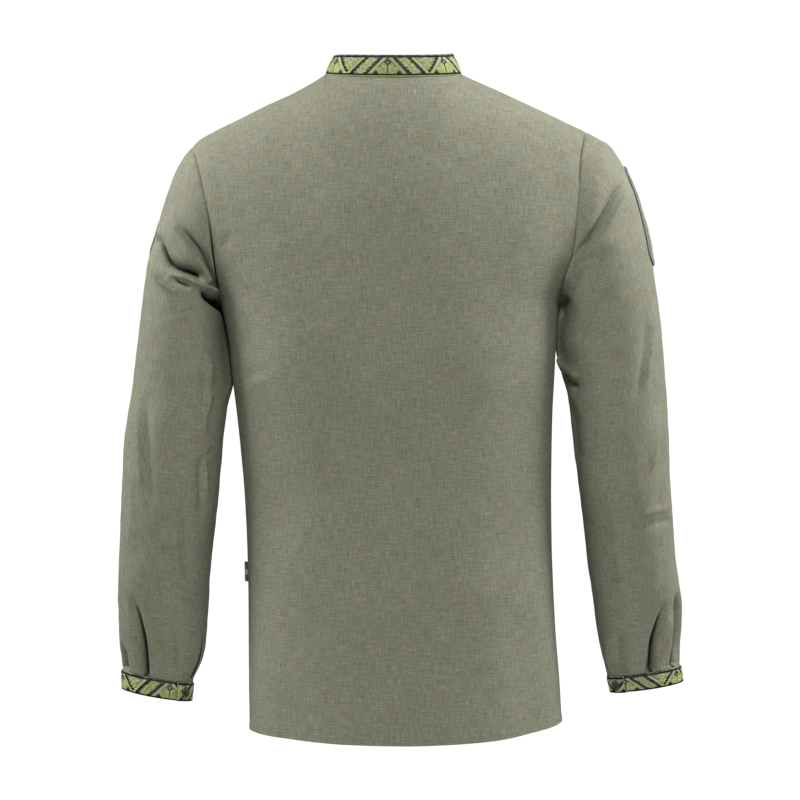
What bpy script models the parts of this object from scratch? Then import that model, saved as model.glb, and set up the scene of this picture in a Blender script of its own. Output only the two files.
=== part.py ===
"""A band-collar linen shirt in the hollow form it has when worn.

Metres, +Z up, the front of the shirt toward -Y. The origin lies on the axis of the neck at the
height of the neck points. Tables are in millimetres. The outlines in them are the shirt's outline
as seen from four metres behind, and depth_scale brings each to its own depth.
"""

import math

import bmesh
import bpy
import numpy as np
from mathutils import Matrix

MM = 0.001
WALL = 1.5
BAND_WALL = 2.4
SEAM_GAP = 0.15
VIEW_DISTANCE = 4000.0
VIEW_X, VIEW_Z = -7.4, -371.5

# Torso rings from hem to underarm
TORSO = (
    # z, left side, right side, depth of back, depth of front
    (-744.0, 163.0, -190.8, 116.0, 121.0),
    (-697.0, 163.8, -188.2, 114.5, 122.0),
    (-644.0, 164.2, -184.1, 112.0, 124.0),
    (-590.0, 164.6, -181.3, 109.0, 125.0),
    (-537.0, 165.9, -179.5, 106.0, 126.0),
    (-480.0, 168.7, -178.9, 105.0, 127.0),
    (-430.0, 173.0, -179.4, 109.0, 130.0),
    (-385.0, 177.8, -180.4, 114.5, 134.0),
    (-349.0, 182.3, -182.3, 119.0, 137.0),
    (-303.0, 187.4, -184.6, 122.8, 139.4),
    (-260.0, 196.0, -187.0, 124.0, 140.0),
)
TORSO_ROWS = (0.0, 0.11, 0.23, 0.35, 0.47, 0.59, 0.7, 0.8, 0.89, 0.95, 1.0)
BACK_POWER, FRONT_POWER = 2.6, 2.4

# Height of the hem against the share of the half width, from the wearer's right to left
BACK_HEM = (
    (-1.0, -734.0), (-0.84, -740.4), (-0.54, -749.2), (-0.23, -752.7), (0.0, -753.8),
    (0.37, -752.4), (0.67, -748.8), (0.95, -744.0), (1.0, -743.0),
)
FRONT_HEM = ((-1.0, -734.0), (-0.6, -746.0), (0.0, -751.0), (0.6, -748.0), (1.0, -743.0))

# Shoulder seams from the neck point to the tip, and the armhole seams from tip to underarm
SHOULDER_LEFT = (
    # x, z
    (76.7, -1.5), (84.9, -7.0), (111.0, -22.0), (147.0, -38.6), (176.0, -53.4),
    (205.0, -67.8), (221.0, -77.2), (227.8, -84.0),
)
SHOULDER_RIGHT = (
    (76.7, -1.5), (84.9, -5.5), (121.0, -21.7), (140.5, -30.7), (180.0, -49.2),
    (216.6, -66.7),
)
ARMHOLE_LEFT = (
    # z, x
    (-260.0, 196.0), (-250.0, 197.0), (-219.0, 200.5), (-174.0, 205.7), (-122.0, 216.0),
    (-84.0, 227.8),
)
ARMHOLE_RIGHT = (
    (-260.0, 187.0), (-234.0, 192.0), (-212.0, 199.5), (-182.0, 204.0), (-145.0, 206.5),
    (-100.6, 209.4), (-66.7, 216.6),
)
ARMHOLE_BACK, ARMHOLE_FRONT = 72.0, 78.0

# Neckline
NECK_HALF = 76.7
NECK_BACK_DEPTH, NECK_FRONT_DEPTH = 55.0, 67.0
NECK_BACK_DROP, NECK_FRONT_DROP = 7.5, 60.0
# Ridge that the shoulders would follow across the open neck
NECK_RIDGE = ((-25.0, 25.0), (0.0, 28.0), (25.0, 25.0), (50.0, 14.5))
BACK_ROUND, FRONT_ROUND = 2.0, 1.35

# Sleeve outlines, outer side then inner side, x outward from the middle of the shirt
LEFT_OUTER = (
    # z, x
    (-84.0, 227.8), (-90.0, 233.4), (-102.0, 241.4), (-116.0, 248.7), (-135.0, 255.8),
    (-155.0, 262.5), (-174.0, 268.3), (-196.0, 274.0), (-208.5, 277.0), (-226.0, 280.5),
    (-250.0, 283.8), (-286.0, 289.0), (-321.5, 292.8), (-360.0, 297.0), (-396.0, 302.4),
    (-462.0, 308.0), (-518.0, 310.8), (-565.0, 312.7), (-594.0, 313.7), (-618.5, 312.5),
    (-644.0, 310.7), (-664.0, 308.7), (-675.0, 307.3),
)
LEFT_INNER = (
    (-260.0, 196.0), (-266.0, 195.9), (-275.0, 194.4), (-303.0, 189.2), (-330.0, 186.3),
    (-349.0, 184.3), (-358.0, 185.6), (-396.0, 190.0), (-420.0, 194.0), (-454.0, 197.0),
    (-499.5, 200.6), (-546.0, 205.4), (-584.0, 209.0), (-612.0, 210.8), (-644.0, 212.8),
    (-660.0, 215.4), (-673.0, 220.0), (-686.0, 226.6), (-688.0, 227.4),
)
RIGHT_OUTER = (
    (-66.7, 216.6), (-74.0, 231.0), (-81.0, 243.0), (-86.0, 248.0), (-95.0, 254.0),
    (-105.0, 260.2), (-112.0, 264.0), (-138.0, 275.3), (-169.0, 285.3), (-195.0, 292.3),
    (-214.0, 295.2), (-234.0, 297.7), (-268.0, 301.8), (-315.0, 305.6), (-371.5, 309.3),
    (-386.0, 310.7), (-462.0, 314.4), (-518.0, 318.2), (-552.0, 321.0), (-575.0, 324.0),
    (-605.5, 327.3), (-621.0, 327.5), (-644.0, 326.4), (-664.0, 325.7), (-672.0, 325.0),
)
RIGHT_INNER = (
    (-260.0, 187.0), (-266.0, 188.3), (-280.0, 187.8), (-303.0, 186.6), (-312.0, 186.8),
    (-332.0, 190.7), (-359.0, 197.3), (-386.0, 200.5), (-424.0, 205.0), (-462.0, 209.8),
    (-509.0, 215.5), (-556.0, 221.0), (-594.0, 225.8), (-642.0, 231.4), (-668.0, 238.0),
    (-684.0, 242.5),
)

# Sleeve rings from armhole to cuff
RINGS_LEFT = (
    # outer z, inner z, y of the middle, half depth, power of the section
    (-84.0, -260.0, -3.0, 75.0, 2.0),
    (-97.0, -265.0, -3.0, 74.0, 2.0),
    (-112.0, -271.0, -3.0, 73.0, 2.0),
    (-129.0, -278.0, -3.0, 71.5, 2.02),
    (-148.0, -286.0, -2.5, 70.0, 2.05),
    (-169.0, -295.0, -2.5, 68.5, 2.08),
    (-192.0, -305.0, -2.0, 67.0, 2.1),
    (-216.0, -315.0, -2.0, 65.5, 2.15),
    (-242.0, -327.0, -2.0, 64.0, 2.2),
    (-270.0, -341.0, -2.0, 62.5, 2.2),
    (-300.0, -359.0, -3.0, 61.5, 2.2),
    (-332.0, -380.0, -3.5, 60.5, 2.2),
    (-366.0, -404.0, -5.0, 59.5, 2.2),
    (-402.0, -431.0, -7.0, 58.5, 2.2),
    (-440.0, -461.0, -10.0, 57.0, 2.2),
    (-477.0, -492.0, -13.0, 55.5, 2.2),
    (-513.0, -523.0, -17.0, 54.0, 2.2),
    (-551.0, -558.0, -22.5, 52.5, 2.2),
    (-587.0, -593.0, -29.0, 50.5, 2.2),
    (-618.0, -627.0, -35.0, 47.5, 2.15),
    (-640.0, -650.0, -39.5, 44.5, 2.1),
    (-658.0, -669.0, -43.0, 41.5, 2.1),
    (-669.0, -681.0, -45.0, 39.5, 2.05),
    (-676.6, -690.4, -46.0, 38.3, 2.0),
)
RIGHT_TOP_RAISE, RIGHT_CUFF_RAISE, RIGHT_CUFF_RAISE_INNER = 17.3, 4.9, 4.4
SLEEVE_COLUMNS = 32
# Vent slits at the inner back of the sleeves: column, angle in degrees, first ring
VENT = {"left": (13, 152.0, 19), "right": (15, 169.0, 18)}
VENT_HALF = (0.0, 2.2, 3.0, 2.4, 1.2)

# Cuffs, outer then inner, x outward from the middle of the shirt
CUFF_LEFT = (
    # height, outer z, outer x, inner z, inner x, y of the middle, half depth
    ("top", -676.9, 309.4, -690.7, 227.9, -46.5, 39.4),
    ("bottom", -698.6, 308.6, -711.8, 230.4, -48.5, 38.4),
)
CUFF_RIGHT = (
    ("top", -672.0, 326.8, -686.3, 243.2, -46.5, 39.4),
    ("bottom", -691.6, 329.0, -704.8, 247.6, -48.5, 38.4),
)
CUFF_START, CUFF_TURN = 124.0, 388.0
# The backs of the cuffs hang lower than their fronts, half of it each way
CUFF_DROOP, DROOP_START = 4.8, 0.76
CUFF_BUTTON_ANGLE = {"left": 137.0, "right": 142.0}

# Collar, its columns by turn in degrees from the front over the wearer's left
COLLAR_HEIGHT = 25.4
COLLAR_START, COLLAR_STEP, COLLAR_STEPS = -15.0, 7.5, 51
COLLAR_FOOT_BACK, COLLAR_FOOT_FRONT = 0.35, 0.7
COLLAR_BULGE = 0.8
# Lean of the collar inward, turn in degrees against millimetres
COLLAR_LEAN = (
    (-90.0, 9.8), (0.0, 4.0), (90.0, 9.8), (180.0, 6.0), (270.0, 9.8), (360.0, 4.0), (450.0, 9.8),
)
# How far the outer end of a band stands off the end that it laps over
BAND_LAP = 0.45

# Largest folds, as seen from behind, x and z of three points along each
FOLDS_BACK = (
    # start, middle, end, height of the ridge or depth of the trough, width
    (("left", 252.0, -150.0), (226.0, -196.0), (203.0, -238.0), -4.5, 9.0),
    (("left", 240.0, -186.0), (221.0, -216.0), (205.0, -240.0), 3.0, 12.0),
    (("left", 266.0, -208.0), (246.0, -228.0), (204.0, -247.0), 4.0, 9.0),
    (("left", 246.0, -248.0), (222.0, -259.0), (202.0, -262.0), -6.0, 11.0),
    (("left", 278.0, -290.0), (262.0, -360.0), (268.0, -430.0), 2.0, 22.0),
    (("left", 213.0, -430.0), (207.0, -460.0), (204.0, -495.0), -2.5, 8.0),
    (("left", 298.0, -595.0), (288.0, -640.0), (283.5, -686.0), -4.5, 6.5),
    (("left", 309.0, -650.0), (307.0, -664.0), (305.5, -680.0), -4.0, 5.0),
    (("left", 250.0, -600.0), (254.0, -640.0), (250.0, -676.0), 2.5, 12.0),
    (("right", -248.0, -118.0), (-222.0, -174.0), (-196.0, -232.0), -4.5, 9.0),
    (("right", -254.0, -148.0), (-232.0, -192.0), (-204.0, -236.0), 3.5, 12.0),
    (("right", -280.0, -230.0), (-240.0, -262.0), (-204.0, -272.0), -3.0, 16.0),
    (("right", -300.0, -330.0), (-270.0, -400.0), (-262.0, -470.0), 2.0, 22.0),
    (("right", -312.0, -606.0), (-303.0, -640.0), (-294.5, -680.0), -5.0, 7.0),
    (("right", -323.0, -582.0), (-326.0, -616.0), (-319.5, -672.0), -3.0, 5.0),
    (("right", -262.0, -600.0), (-266.0, -640.0), (-270.0, -670.0), 2.5, 12.0),
    (("body", 150.0, -330.0), (128.0, -450.0), (110.0, -560.0), -2.5, 26.0),
    (("body", -150.0, -330.0), (-140.0, -450.0), (-120.0, -600.0), -2.5, 26.0),
    (("body", 20.0, -120.0), (8.0, -240.0), (-6.0, -380.0), -3.0, 40.0),
)
FOLDS_FRONT = (
    (("left", 236.0, -160.0), (222.0, -200.0), (206.0, -240.0), -4.5, 10.0),
    (("left", 268.0, -232.0), (240.0, -256.0), (206.0, -268.0), -4.5, 11.0),
    (("left", 268.0, -390.0), (240.0, -420.0), (216.0, -436.0), -3.5, 12.0),
    (("left", 290.0, -590.0), (276.0, -640.0), (268.0, -682.0), -3.5, 8.0),
    (("right", -234.0, -150.0), (-220.0, -192.0), (-200.0, -234.0), -4.5, 10.0),
    (("right", -276.0, -240.0), (-244.0, -260.0), (-204.0, -272.0), -4.5, 11.0),
    (("right", -284.0, -400.0), (-256.0, -430.0), (-226.0, -446.0), -3.5, 12.0),
    (("right", -306.0, -590.0), (-292.0, -640.0), (-284.0, -680.0), -3.5, 8.0),
    (("body", 130.0, -300.0), (116.0, -430.0), (90.0, -560.0), -3.0, 26.0),
    (("body", -136.0, -300.0), (-124.0, -430.0), (-96.0, -580.0), -3.0, 26.0),
)

# Front opening, placket strip and buttons
SLIT_BOTTOM = -310.0
SLIT_HALF = 1.2
PLACKET_HALF = 15.0
PLACKET_BOTTOM = -352.0
PLACKET_INNER, PLACKET_OUTER = 0.5, 1.9
FRONT_BUTTONS = (-108.0, -182.0, -256.0)
BUTTON_RADIUS, BUTTON_THICK, BUTTON_GAP = 5.7, 2.2, 0.4

# Hook-and-loop fields on the upper sleeves, angles from the outer line toward the back
PATCHES = {
    # side: top z, bottom z on the outer line, front angle, back angle at top and at bottom
    "left": (-108.0, -213.0, -80.0, -19.0, -1.0),
    "right": (-106.0, -219.0, -57.0, 13.0, 31.0),
}
PATCH_AXIS = (0.29, -0.957)
PATCH_CORNER = 19.0
PATCH_INNER, PATCH_OUTER = 0.95, 2.2

# Folded tab in the left side seam
TAB_TOP, TAB_BOTTOM, TAB_LENGTH, TAB_WALL = -555.0, -577.6, 12.0, 1.2

LINEN = ((0.165, 0.171, 0.115), 0.9)
BAND = ((0.200, 0.225, 0.095), 0.85)
LOOP = ((0.070, 0.085, 0.055), 0.95)
HORN = ((0.050, 0.040, 0.030), 0.4)
TAB = ((0.080, 0.130, 0.055), 0.8)


# Smooth reading of the tables
def through(table_x, table_y, x):
    """Smooth curve through a table that never swings past its points."""
    xs = np.asarray(table_x, float)
    ys = np.asarray(table_y, float)
    if xs[0] > xs[-1]:
        xs, ys = xs[::-1], ys[::-1]
    step = np.diff(xs)
    slope = np.diff(ys) / step
    tangent = np.zeros_like(ys)
    w1, w2 = 2 * step[1:] + step[:-1], step[1:] + 2 * step[:-1]
    same = slope[:-1] * slope[1:] > 0
    safe = np.where(same, slope[:-1] * slope[1:], 1.0)
    mean = (w1 + w2) * safe / np.where(same, w1 * slope[1:] + w2 * slope[:-1], 1.0)
    tangent[1:-1] = np.where(same, mean, 0.0)
    tangent[0], tangent[-1] = slope[0], slope[-1]
    x = np.clip(np.asarray(x, float), xs[0], xs[-1])
    i = np.clip(np.searchsorted(xs, x, side="right") - 1, 0, len(xs) - 2)
    t = (x - xs[i]) / step[i]
    a, b = ys[i], ys[i + 1]
    return (
        a * (1 + 2 * t) * (1 - t) ** 2
        + tangent[i] * step[i] * t * (1 - t) ** 2
        + b * t * t * (3 - 2 * t)
        + tangent[i + 1] * step[i] * t * t * (t - 1)
    )


def column(table, index):
    return [row[index] for row in table]


def ease(t):
    t = np.clip(t, 0.0, 1.0)
    return t * t * (3 - 2 * t)


def depth_scale(points):
    """A point nearer the front is set further from the view's axis, so its outline still fits."""
    out = np.array(points, float)
    grow = (VIEW_DISTANCE - out[..., 1]) / VIEW_DISTANCE
    out[..., 0] = VIEW_X + (out[..., 0] - VIEW_X) * grow
    out[..., 2] = VIEW_Z + (out[..., 2] - VIEW_Z) * grow
    return out


def along(a, b, share):
    return np.asarray(a, float) * (1 - share) + np.asarray(b, float) * share


# Torso surface
def torso_ring(share):
    """Side heights, sides and depths at a share of the way from hem to underarm."""
    rows = np.linspace(0, 1, len(TORSO))
    return [through(rows, column(TORSO, i), share) for i in range(5)]


def lower_point(q, share, face):
    """Point of the torso below the underarm, q from -1 on the wearer's right to 1 on the left."""
    z, left, right, back, front = torso_ring(share)
    depth, power = (back, BACK_POWER) if face > 0 else (-front, FRONT_POWER)
    hem = BACK_HEM if face > 0 else FRONT_HEM
    x = (left + right) / 2 + (left - right) / 2 * q
    y = depth * (1 - np.abs(q) ** power) ** (1 / power)
    drop = through(column(hem, 0), column(hem, 1), q) - TORSO[0][0]
    return np.array([x, y, z + drop * (1 - share) ** 2])


def neck_share(side):
    return NECK_HALF / (SHOULDER_LEFT if side > 0 else SHOULDER_RIGHT)[-1][0]


def top_point(q, face):
    """Point of the shoulder seam or the neckline above column q."""
    side = 1 if q >= 0 else -1
    seam = SHOULDER_LEFT if side > 0 else SHOULDER_RIGHT
    x = abs(q) * seam[-1][0]
    if x >= NECK_HALF:
        return np.array([side * x, 0.0, through(column(seam, 0), column(seam, 1), x)])
    turn = math.acos(min(1.0, x / NECK_HALF))
    if face > 0:
        y = NECK_BACK_DEPTH * math.sin(turn) ** 0.9
        z = seam[0][1] - NECK_BACK_DROP * math.sin(turn)
    else:
        y = -NECK_FRONT_DEPTH * math.sin(turn)
        z = seam[0][1] - NECK_FRONT_DROP * math.sin(turn) ** 1.5
    return np.array([side * x, y, z])


def armhole(side, rise, face):
    """Armhole seam at a share of the way up, in the back half or the front half."""
    seam = ARMHOLE_LEFT if side > 0 else ARMHOLE_RIGHT
    z = seam[0][0] + (seam[-1][0] - seam[0][0]) * rise
    depth = ARMHOLE_BACK if face > 0 else -ARMHOLE_FRONT
    x = side * through(column(seam, 0), column(seam, 1), z)
    return np.array([x, 2 * depth * math.sqrt(max(0.0, rise * (1 - rise))), z])


def ridge(q):
    """Height of the shoulder ridge above column q, carried on across the open neck."""
    seam = SHOULDER_LEFT if q >= 0 else SHOULDER_RIGHT
    table = NECK_RIDGE + seam
    return through(column(table, 0), column(table, 1), abs(q) * seam[-1][0])


def upper_point(q, rise, face):
    """Point of the torso above the underarm."""
    base = lower_point(q, 1.0, face)
    top = top_point(q, face)
    side = 1 if q >= 0 else -1
    edge = armhole(side, rise, face)
    _, _, _, back, front = torso_ring(1.0)
    if face > 0:
        depth, power, bend = back, BACK_POWER, BACK_ROUND
    else:
        depth, power, bend = front, FRONT_POWER, FRONT_ROUND
    z = base[2] + (top[2] - base[2]) * rise
    share = (z - base[2]) / (ridge(q) - base[2])
    widest = depth * math.sqrt(max(0.0, 1 - min(1.0, share) ** bend))
    at_edge = depth * math.sqrt(max(0.0, 1 - rise**bend))
    reach = min(0.97, abs(edge[1]) / at_edge) if at_edge > 1e-6 else 0.0
    keep = (1 - reach**power) ** (1 / power)
    y = widest * (1 - (keep * abs(q)) ** power) ** (1 / power)
    if abs(q) < neck_share(side):
        share_top = (top[2] - base[2]) / (ridge(q) - base[2])
        y_top = depth * math.sqrt(max(0.0, 1 - min(1.0, share_top) ** bend))
        y += (abs(top[1]) - y_top) * rise**5
    x = (1 - rise) * base[0] + rise * top[0]
    straight = (1 - rise) * lower_point(side, 1.0, face)[0] + rise * top_point(side, face)[0]
    x += (edge[0] - straight) * abs(q) ** 5
    return np.array([x, face * y, z])


def fold_height(points, table, where):
    """How far the folds of a table lift or sink these points, read in the view from behind."""
    flat = np.asarray(points, float)[..., (0, 2)]
    height = np.zeros(flat.shape[:-1])
    for first, second, third, size, width in table:
        if first[0] != where:
            continue
        a, b, c = (np.array(p, float) for p in (first[1:], second, third))
        best = np.full(height.shape, 1e9)
        place = np.zeros(height.shape)
        steps = 10
        curve = [
            (1 - t) ** 2 * a + 2 * t * (1 - t) * (2 * b - (a + c) / 2) + t * t * c
            for t in np.linspace(0, 1, steps + 1)
        ]
        for k in range(steps):
            p, d = curve[k], curve[k + 1] - curve[k]
            t = np.clip(((flat - p) @ d) / (d @ d), 0, 1)
            gap = np.linalg.norm(flat - p - t[..., None] * d, axis=-1)
            nearer = gap < best
            best = np.where(nearer, gap, best)
            place = np.where(nearer, (k + t) / steps, place)
        fade = ease(place / 0.25) * ease((1 - place) / 0.12)
        height += size * fade * np.exp(-((best / width) ** 2))
    return height


# Sleeve surface
def sleeve_line(side, ring):
    """Outer and inner point, y, half depth and power of the section at a share of the sleeve."""
    rows = np.linspace(0, 1, len(RINGS_LEFT))
    outer_z, inner_z, y, depth, power = (
        through(rows, column(RINGS_LEFT, i), ring) for i in range(5)
    )
    if side < 0:
        lower = ease((ring - 0.5) / 0.5)
        outer_z = outer_z + RIGHT_TOP_RAISE * (1 - ease(ring / 0.5)) + RIGHT_CUFF_RAISE * lower
        inner_z = inner_z + RIGHT_CUFF_RAISE_INNER * lower
    outer, inner = (LEFT_OUTER, LEFT_INNER) if side > 0 else (RIGHT_OUTER, RIGHT_INNER)
    outer_x = through(column(outer, 0), column(outer, 1), outer_z)
    inner_x = through(column(inner, 0), column(inner, 1), inner_z)
    return (side * outer_x, outer_z), (side * inner_x, inner_z), y, depth, power


def sleeve_point(side, ring, angle):
    """Point of a sleeve. The angle starts on the outer line and goes round over the back."""
    (ox, oz), (ix, iz), y, depth, power = sleeve_line(side, ring)
    c, s = math.cos(angle), math.sin(angle)
    across = math.copysign(abs(c) ** (2 / power), c)
    deep = math.copysign(abs(s) ** (2 / power), s)
    x = (ox + ix) / 2 + (ox - ix) / 2 * across
    z = (oz + iz) / 2 + (oz - iz) / 2 * across
    point = np.array([x, y + depth * deep, z])
    if ring > 0.2:
        return point
    face = 1 if s >= 0 else -1
    rise = (1 + c) / 2
    share = 1 - ease(ring / 0.2)
    seam = armhole(side, rise, face)
    line = np.array([
        (ox + ix) / 2 + (ox - ix) / 2 * c,
        seam[1],
        (oz + iz) / 2 + (oz - iz) / 2 * c,
    ])
    start = sleeve_line(side, 0.0)
    straight = (start[0][0] + start[1][0]) / 2 + (start[0][0] - start[1][0]) / 2 * c
    line[0] += seam[0] - straight
    return point * (1 - share) + line * share


# Surface grids
def grid_normals(points, wrap, turn):
    """Outward directions of a grid. The turn is 1 where its columns run to the right from outside."""
    down = np.gradient(points, axis=0)
    if wrap:
        across = (np.roll(points, -1, axis=1) - np.roll(points, 1, axis=1)) / 2
    else:
        across = np.gradient(points, axis=1)
    normal = turn * np.cross(down, across)
    return normal / np.maximum(np.linalg.norm(normal, axis=-1, keepdims=True), 1e-9)


def share_at_seams(grids, normals):
    """Points that lie together on a seam take one direction."""
    sums = {}
    keys = []
    for points, normal in zip(grids, normals):
        rounded = [tuple(np.round(p, 2)) for p in points.reshape(-1, 3)]
        keys.append(rounded)
        for key, n in zip(rounded, normal.reshape(-1, 3)):
            sums[key] = sums.get(key, 0) + n
    out = []
    for points, key_list in zip(grids, keys):
        n = np.array([sums[key] for key in key_list])
        n /= np.maximum(np.linalg.norm(n, axis=-1, keepdims=True), 1e-9)
        out.append(n.reshape(points.shape))
    return out


def unit(vector):
    return vector / np.maximum(np.linalg.norm(vector, axis=-1, keepdims=True), 1e-9)


def inset(grid, rows=(), columns=(), last_row=None):
    """Draws the named first or last rows and columns of a grid back from their seam."""
    out = np.array(grid)
    for end in rows:
        out[end] += unit(grid[1 if end == 0 else -2] - grid[end]) * SEAM_GAP
    for end in columns:
        stop = last_row if last_row is not None else len(grid)
        inner = 1 if end == 0 else -2
        out[:stop, end] += unit(grid[:stop, inner] - grid[:stop, end]) * SEAM_GAP
    return out


def half_columns(count_shoulder, count_neck, power=2.5):
    """Column places from the wearer's left to right, even along the ring on each shoulder."""
    places = []
    for side in (1, -1):
        q = np.linspace(neck_share(side), 1.0, 400)
        y = (1 - q**power) ** (1 / power) * 0.66
        length = np.concatenate([[0], np.cumsum(np.hypot(np.diff(q), np.diff(y)))])
        even = np.linspace(0, length[-1], count_shoulder + 1)
        places.append(side * np.interp(even, length, q))
    left, right = places
    turn = np.sin(np.linspace(math.pi / 2, 0, count_neck // 2 + 1))[1:-1]
    return np.concatenate([left[::-1], turn * left[0], [0.0], turn[::-1] * right[0], right])


def torso_grid(face, columns, rises):
    """Rows from the shoulder down to the hem, columns from the wearer's left to right."""
    rows = [[upper_point(q, rise, face) for q in columns] for rise in rises]
    rows += [[lower_point(q, share, face) for q in columns] for share in TORSO_ROWS[-2::-1]]
    points = np.array(rows)
    normals = grid_normals(points, False, face)
    height = fold_height(points, FOLDS_BACK if face > 0 else FOLDS_FRONT, "body")
    height *= ease((1 - np.abs(columns)) / 0.12)[None, :]
    return points + normals * height[..., None]


def sleeve_angles(side, ring):
    """Angles of a sleeve's columns. They turn a little toward the cuff, to meet the vent."""
    even = 2 * math.pi * np.arange(SLEEVE_COLUMNS) / SLEEVE_COLUMNS
    number, degrees, _ = VENT["left" if side > 0 else "right"]
    return even + (math.radians(degrees) - even[number]) * ease(ring / 0.7)


def sleeve_grid(side):
    """Rows from armhole to cuff, columns round the sleeve from the outer line over the back."""
    rings = np.linspace(0, 1, len(RINGS_LEFT))
    angles = np.array([sleeve_angles(side, ring) for ring in rings])
    points = np.array(
        [[sleeve_point(side, ring, a) for a in row] for ring, row in zip(rings, angles)]
    )
    normals = grid_normals(points, True, side)
    where = "left" if side > 0 else "right"
    height = fold_height(points, FOLDS_BACK, where) * ease(np.sin(angles) / 0.3)
    height += fold_height(points, FOLDS_FRONT, where) * ease(-np.sin(angles) / 0.3)
    height *= ease(rings / 0.06)[:, None]
    points = points + normals * height[..., None]
    keep = ease((rings - 0.35) / 0.3)[:, None, None]
    points = points * (1 - keep) + depth_scale(points) * keep
    points[..., 2] -= CUFF_DROOP * np.sin(angles) * ease((rings - DROOP_START) / (1 - DROOP_START))[:, None]
    return points


# Solids
def material(name, look):
    colour, rough = look
    made = bpy.data.materials.new(name)
    made.use_nodes = True
    shader = made.node_tree.nodes["Principled BSDF"]
    shader.inputs["Base Color"].default_value = (*colour, 1.0)
    shader.inputs["Roughness"].default_value = rough
    made.diffuse_color = (*colour, 1.0)
    return made


def add_object(name, mesh, look, collection):
    bm = bmesh.new()
    bm.from_mesh(mesh)
    loose = [v for v in bm.verts if not v.link_faces]
    bmesh.ops.delete(bm, geom=loose, context="VERTS")
    for face in bm.faces:
        face.smooth = True
    for edge in bm.edges:
        edge.smooth = edge.calc_face_angle(0.0) < 0.7
    bm.to_mesh(mesh)
    bm.free()
    mesh.materials.append(material(name, look))
    obj = bpy.data.objects.new(name, mesh)
    collection.objects.link(obj)
    return obj


def cloth(name, outer, inner, quads, look, collection):
    """Closed cloth solid from an outer skin, an inner skin and the quads between its corners."""
    count = len(outer)
    faces = [tuple(q) for q in quads]
    faces += [tuple(i + count for i in reversed(q)) for q in quads]
    edges = {(q[i], q[(i + 1) % len(q)]) for q in quads for i in range(len(q))}
    faces += [(b, a, a + count, b + count) for a, b in sorted(edges) if (b, a) not in edges]
    mesh = bpy.data.meshes.new(name)
    mesh.from_pydata((np.vstack([outer, inner]) * MM).tolist(), [], faces)
    return add_object(name, mesh, look, collection)


def grid_quads(numbers, wrap=False, turn=1, gap_column=None):
    """Corner numbers of a grid's quads, facing out. The gap column has no quads after it."""
    rows, columns = numbers.shape
    quads = []
    for i in range(rows - 1):
        for j in range(columns if wrap else columns - 1):
            if j == gap_column:
                continue
            k = (j + 1) % columns
            quad = (numbers[i, j], numbers[i + 1, j], numbers[i + 1, k], numbers[i, k])
            quad = tuple(int(n) for n in quad)
            if len(set(quad)) == 3:
                quad = tuple(dict.fromkeys(quad))
            quads.append(quad if turn > 0 else quad[::-1])
    return quads


def strip(name, outer, inner, look, collection, turn=1):
    """Cloth solid from two whole grids."""
    numbers = np.arange(outer.shape[0] * outer.shape[1]).reshape(outer.shape[:2])
    quads = grid_quads(numbers, turn=turn)
    return cloth(name, outer.reshape(-1, 3), inner.reshape(-1, 3), quads, look, collection)


def open_column(points, column_at, halves):
    """Splits a column in two, moved apart by its half widths, and numbers the corners."""
    wide = np.insert(points, column_at, points[:, column_at], axis=1)
    across = unit(wide[:, column_at + 2] - wide[:, column_at - 1])
    half = np.asarray(halves)[:, None]
    wide[:, column_at] -= across * half
    wide[:, column_at + 1] += across * half
    numbers = np.arange(wide.shape[0] * wide.shape[1]).reshape(wide.shape[:2])
    whole = np.asarray(halves) == 0
    numbers[whole, column_at + 1] = numbers[whole, column_at]
    return wide, numbers


def torso(collection, sleeves, sleeve_normal_grids):
    """Back and front panels. Gives back the front panel's grid for what lies on it."""
    armhole_rows = SLEEVE_COLUMNS // 2
    rises = (1 + np.cos(np.linspace(0, math.pi, armhole_rows + 1))) / 2
    back_columns = half_columns(9, 10)
    front_columns = half_columns(9, 12)
    back = torso_grid(1, back_columns, rises)
    front = torso_grid(-1, front_columns, rises)
    back_n, front_n = share_at_seams(
        [back, front], [grid_normals(back, False, 1), grid_normals(front, False, -1)]
    )
    for side, end in ((1, 0), (-1, -1)):
        sleeve, normal = sleeves[side], sleeve_normal_grids[side]
        into = sleeve[1] - sleeve[0]
        sleeve_edge = normal[0].copy()
        for panel_n, sign in ((back_n, 1), (front_n, -1)):
            for j in range(armhole_rows + 1):
                k = (sign * j) % SLEEVE_COLUMNS
                if into[k] @ panel_n[j, end] >= 0:
                    continue
                shared = unit(panel_n[j, end] + sleeve_edge[k])
                shared /= max(0.6, float(shared @ panel_n[j, end]))
                panel_n[j, end] = shared
                normal[0, k] = shared
    back_shape = inset(back, rows=(0,), columns=(0, -1))
    back_inner = inset(back - back_n * WALL, rows=(0,), columns=(0, -1))
    front_shape = inset(front, rows=(0,), columns=(0, -1))
    front_inner = inset(front - front_n * WALL, rows=(0,), columns=(0, -1))
    for shape in (back_shape, back_inner, front_shape, front_inner):
        shape[: armhole_rows + 1, 0, 0] -= 2 * SEAM_GAP
        shape[: armhole_rows + 1, -1, 0] += 2 * SEAM_GAP
    strip("back", back_shape, back_inner, LINEN, collection)
    middle = int(np.argmin(np.abs(front_columns)))
    halves = np.where(front[:, middle, 2] > SLIT_BOTTOM, SLIT_HALF, 0.0)
    outer, numbers = open_column(front_shape, middle, halves)
    inner, _ = open_column(front_inner, middle, halves)
    quads = grid_quads(numbers, turn=-1, gap_column=middle)
    cloth("front", outer.reshape(-1, 3), inner.reshape(-1, 3), quads, LINEN, collection)
    return front, front_n


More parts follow.
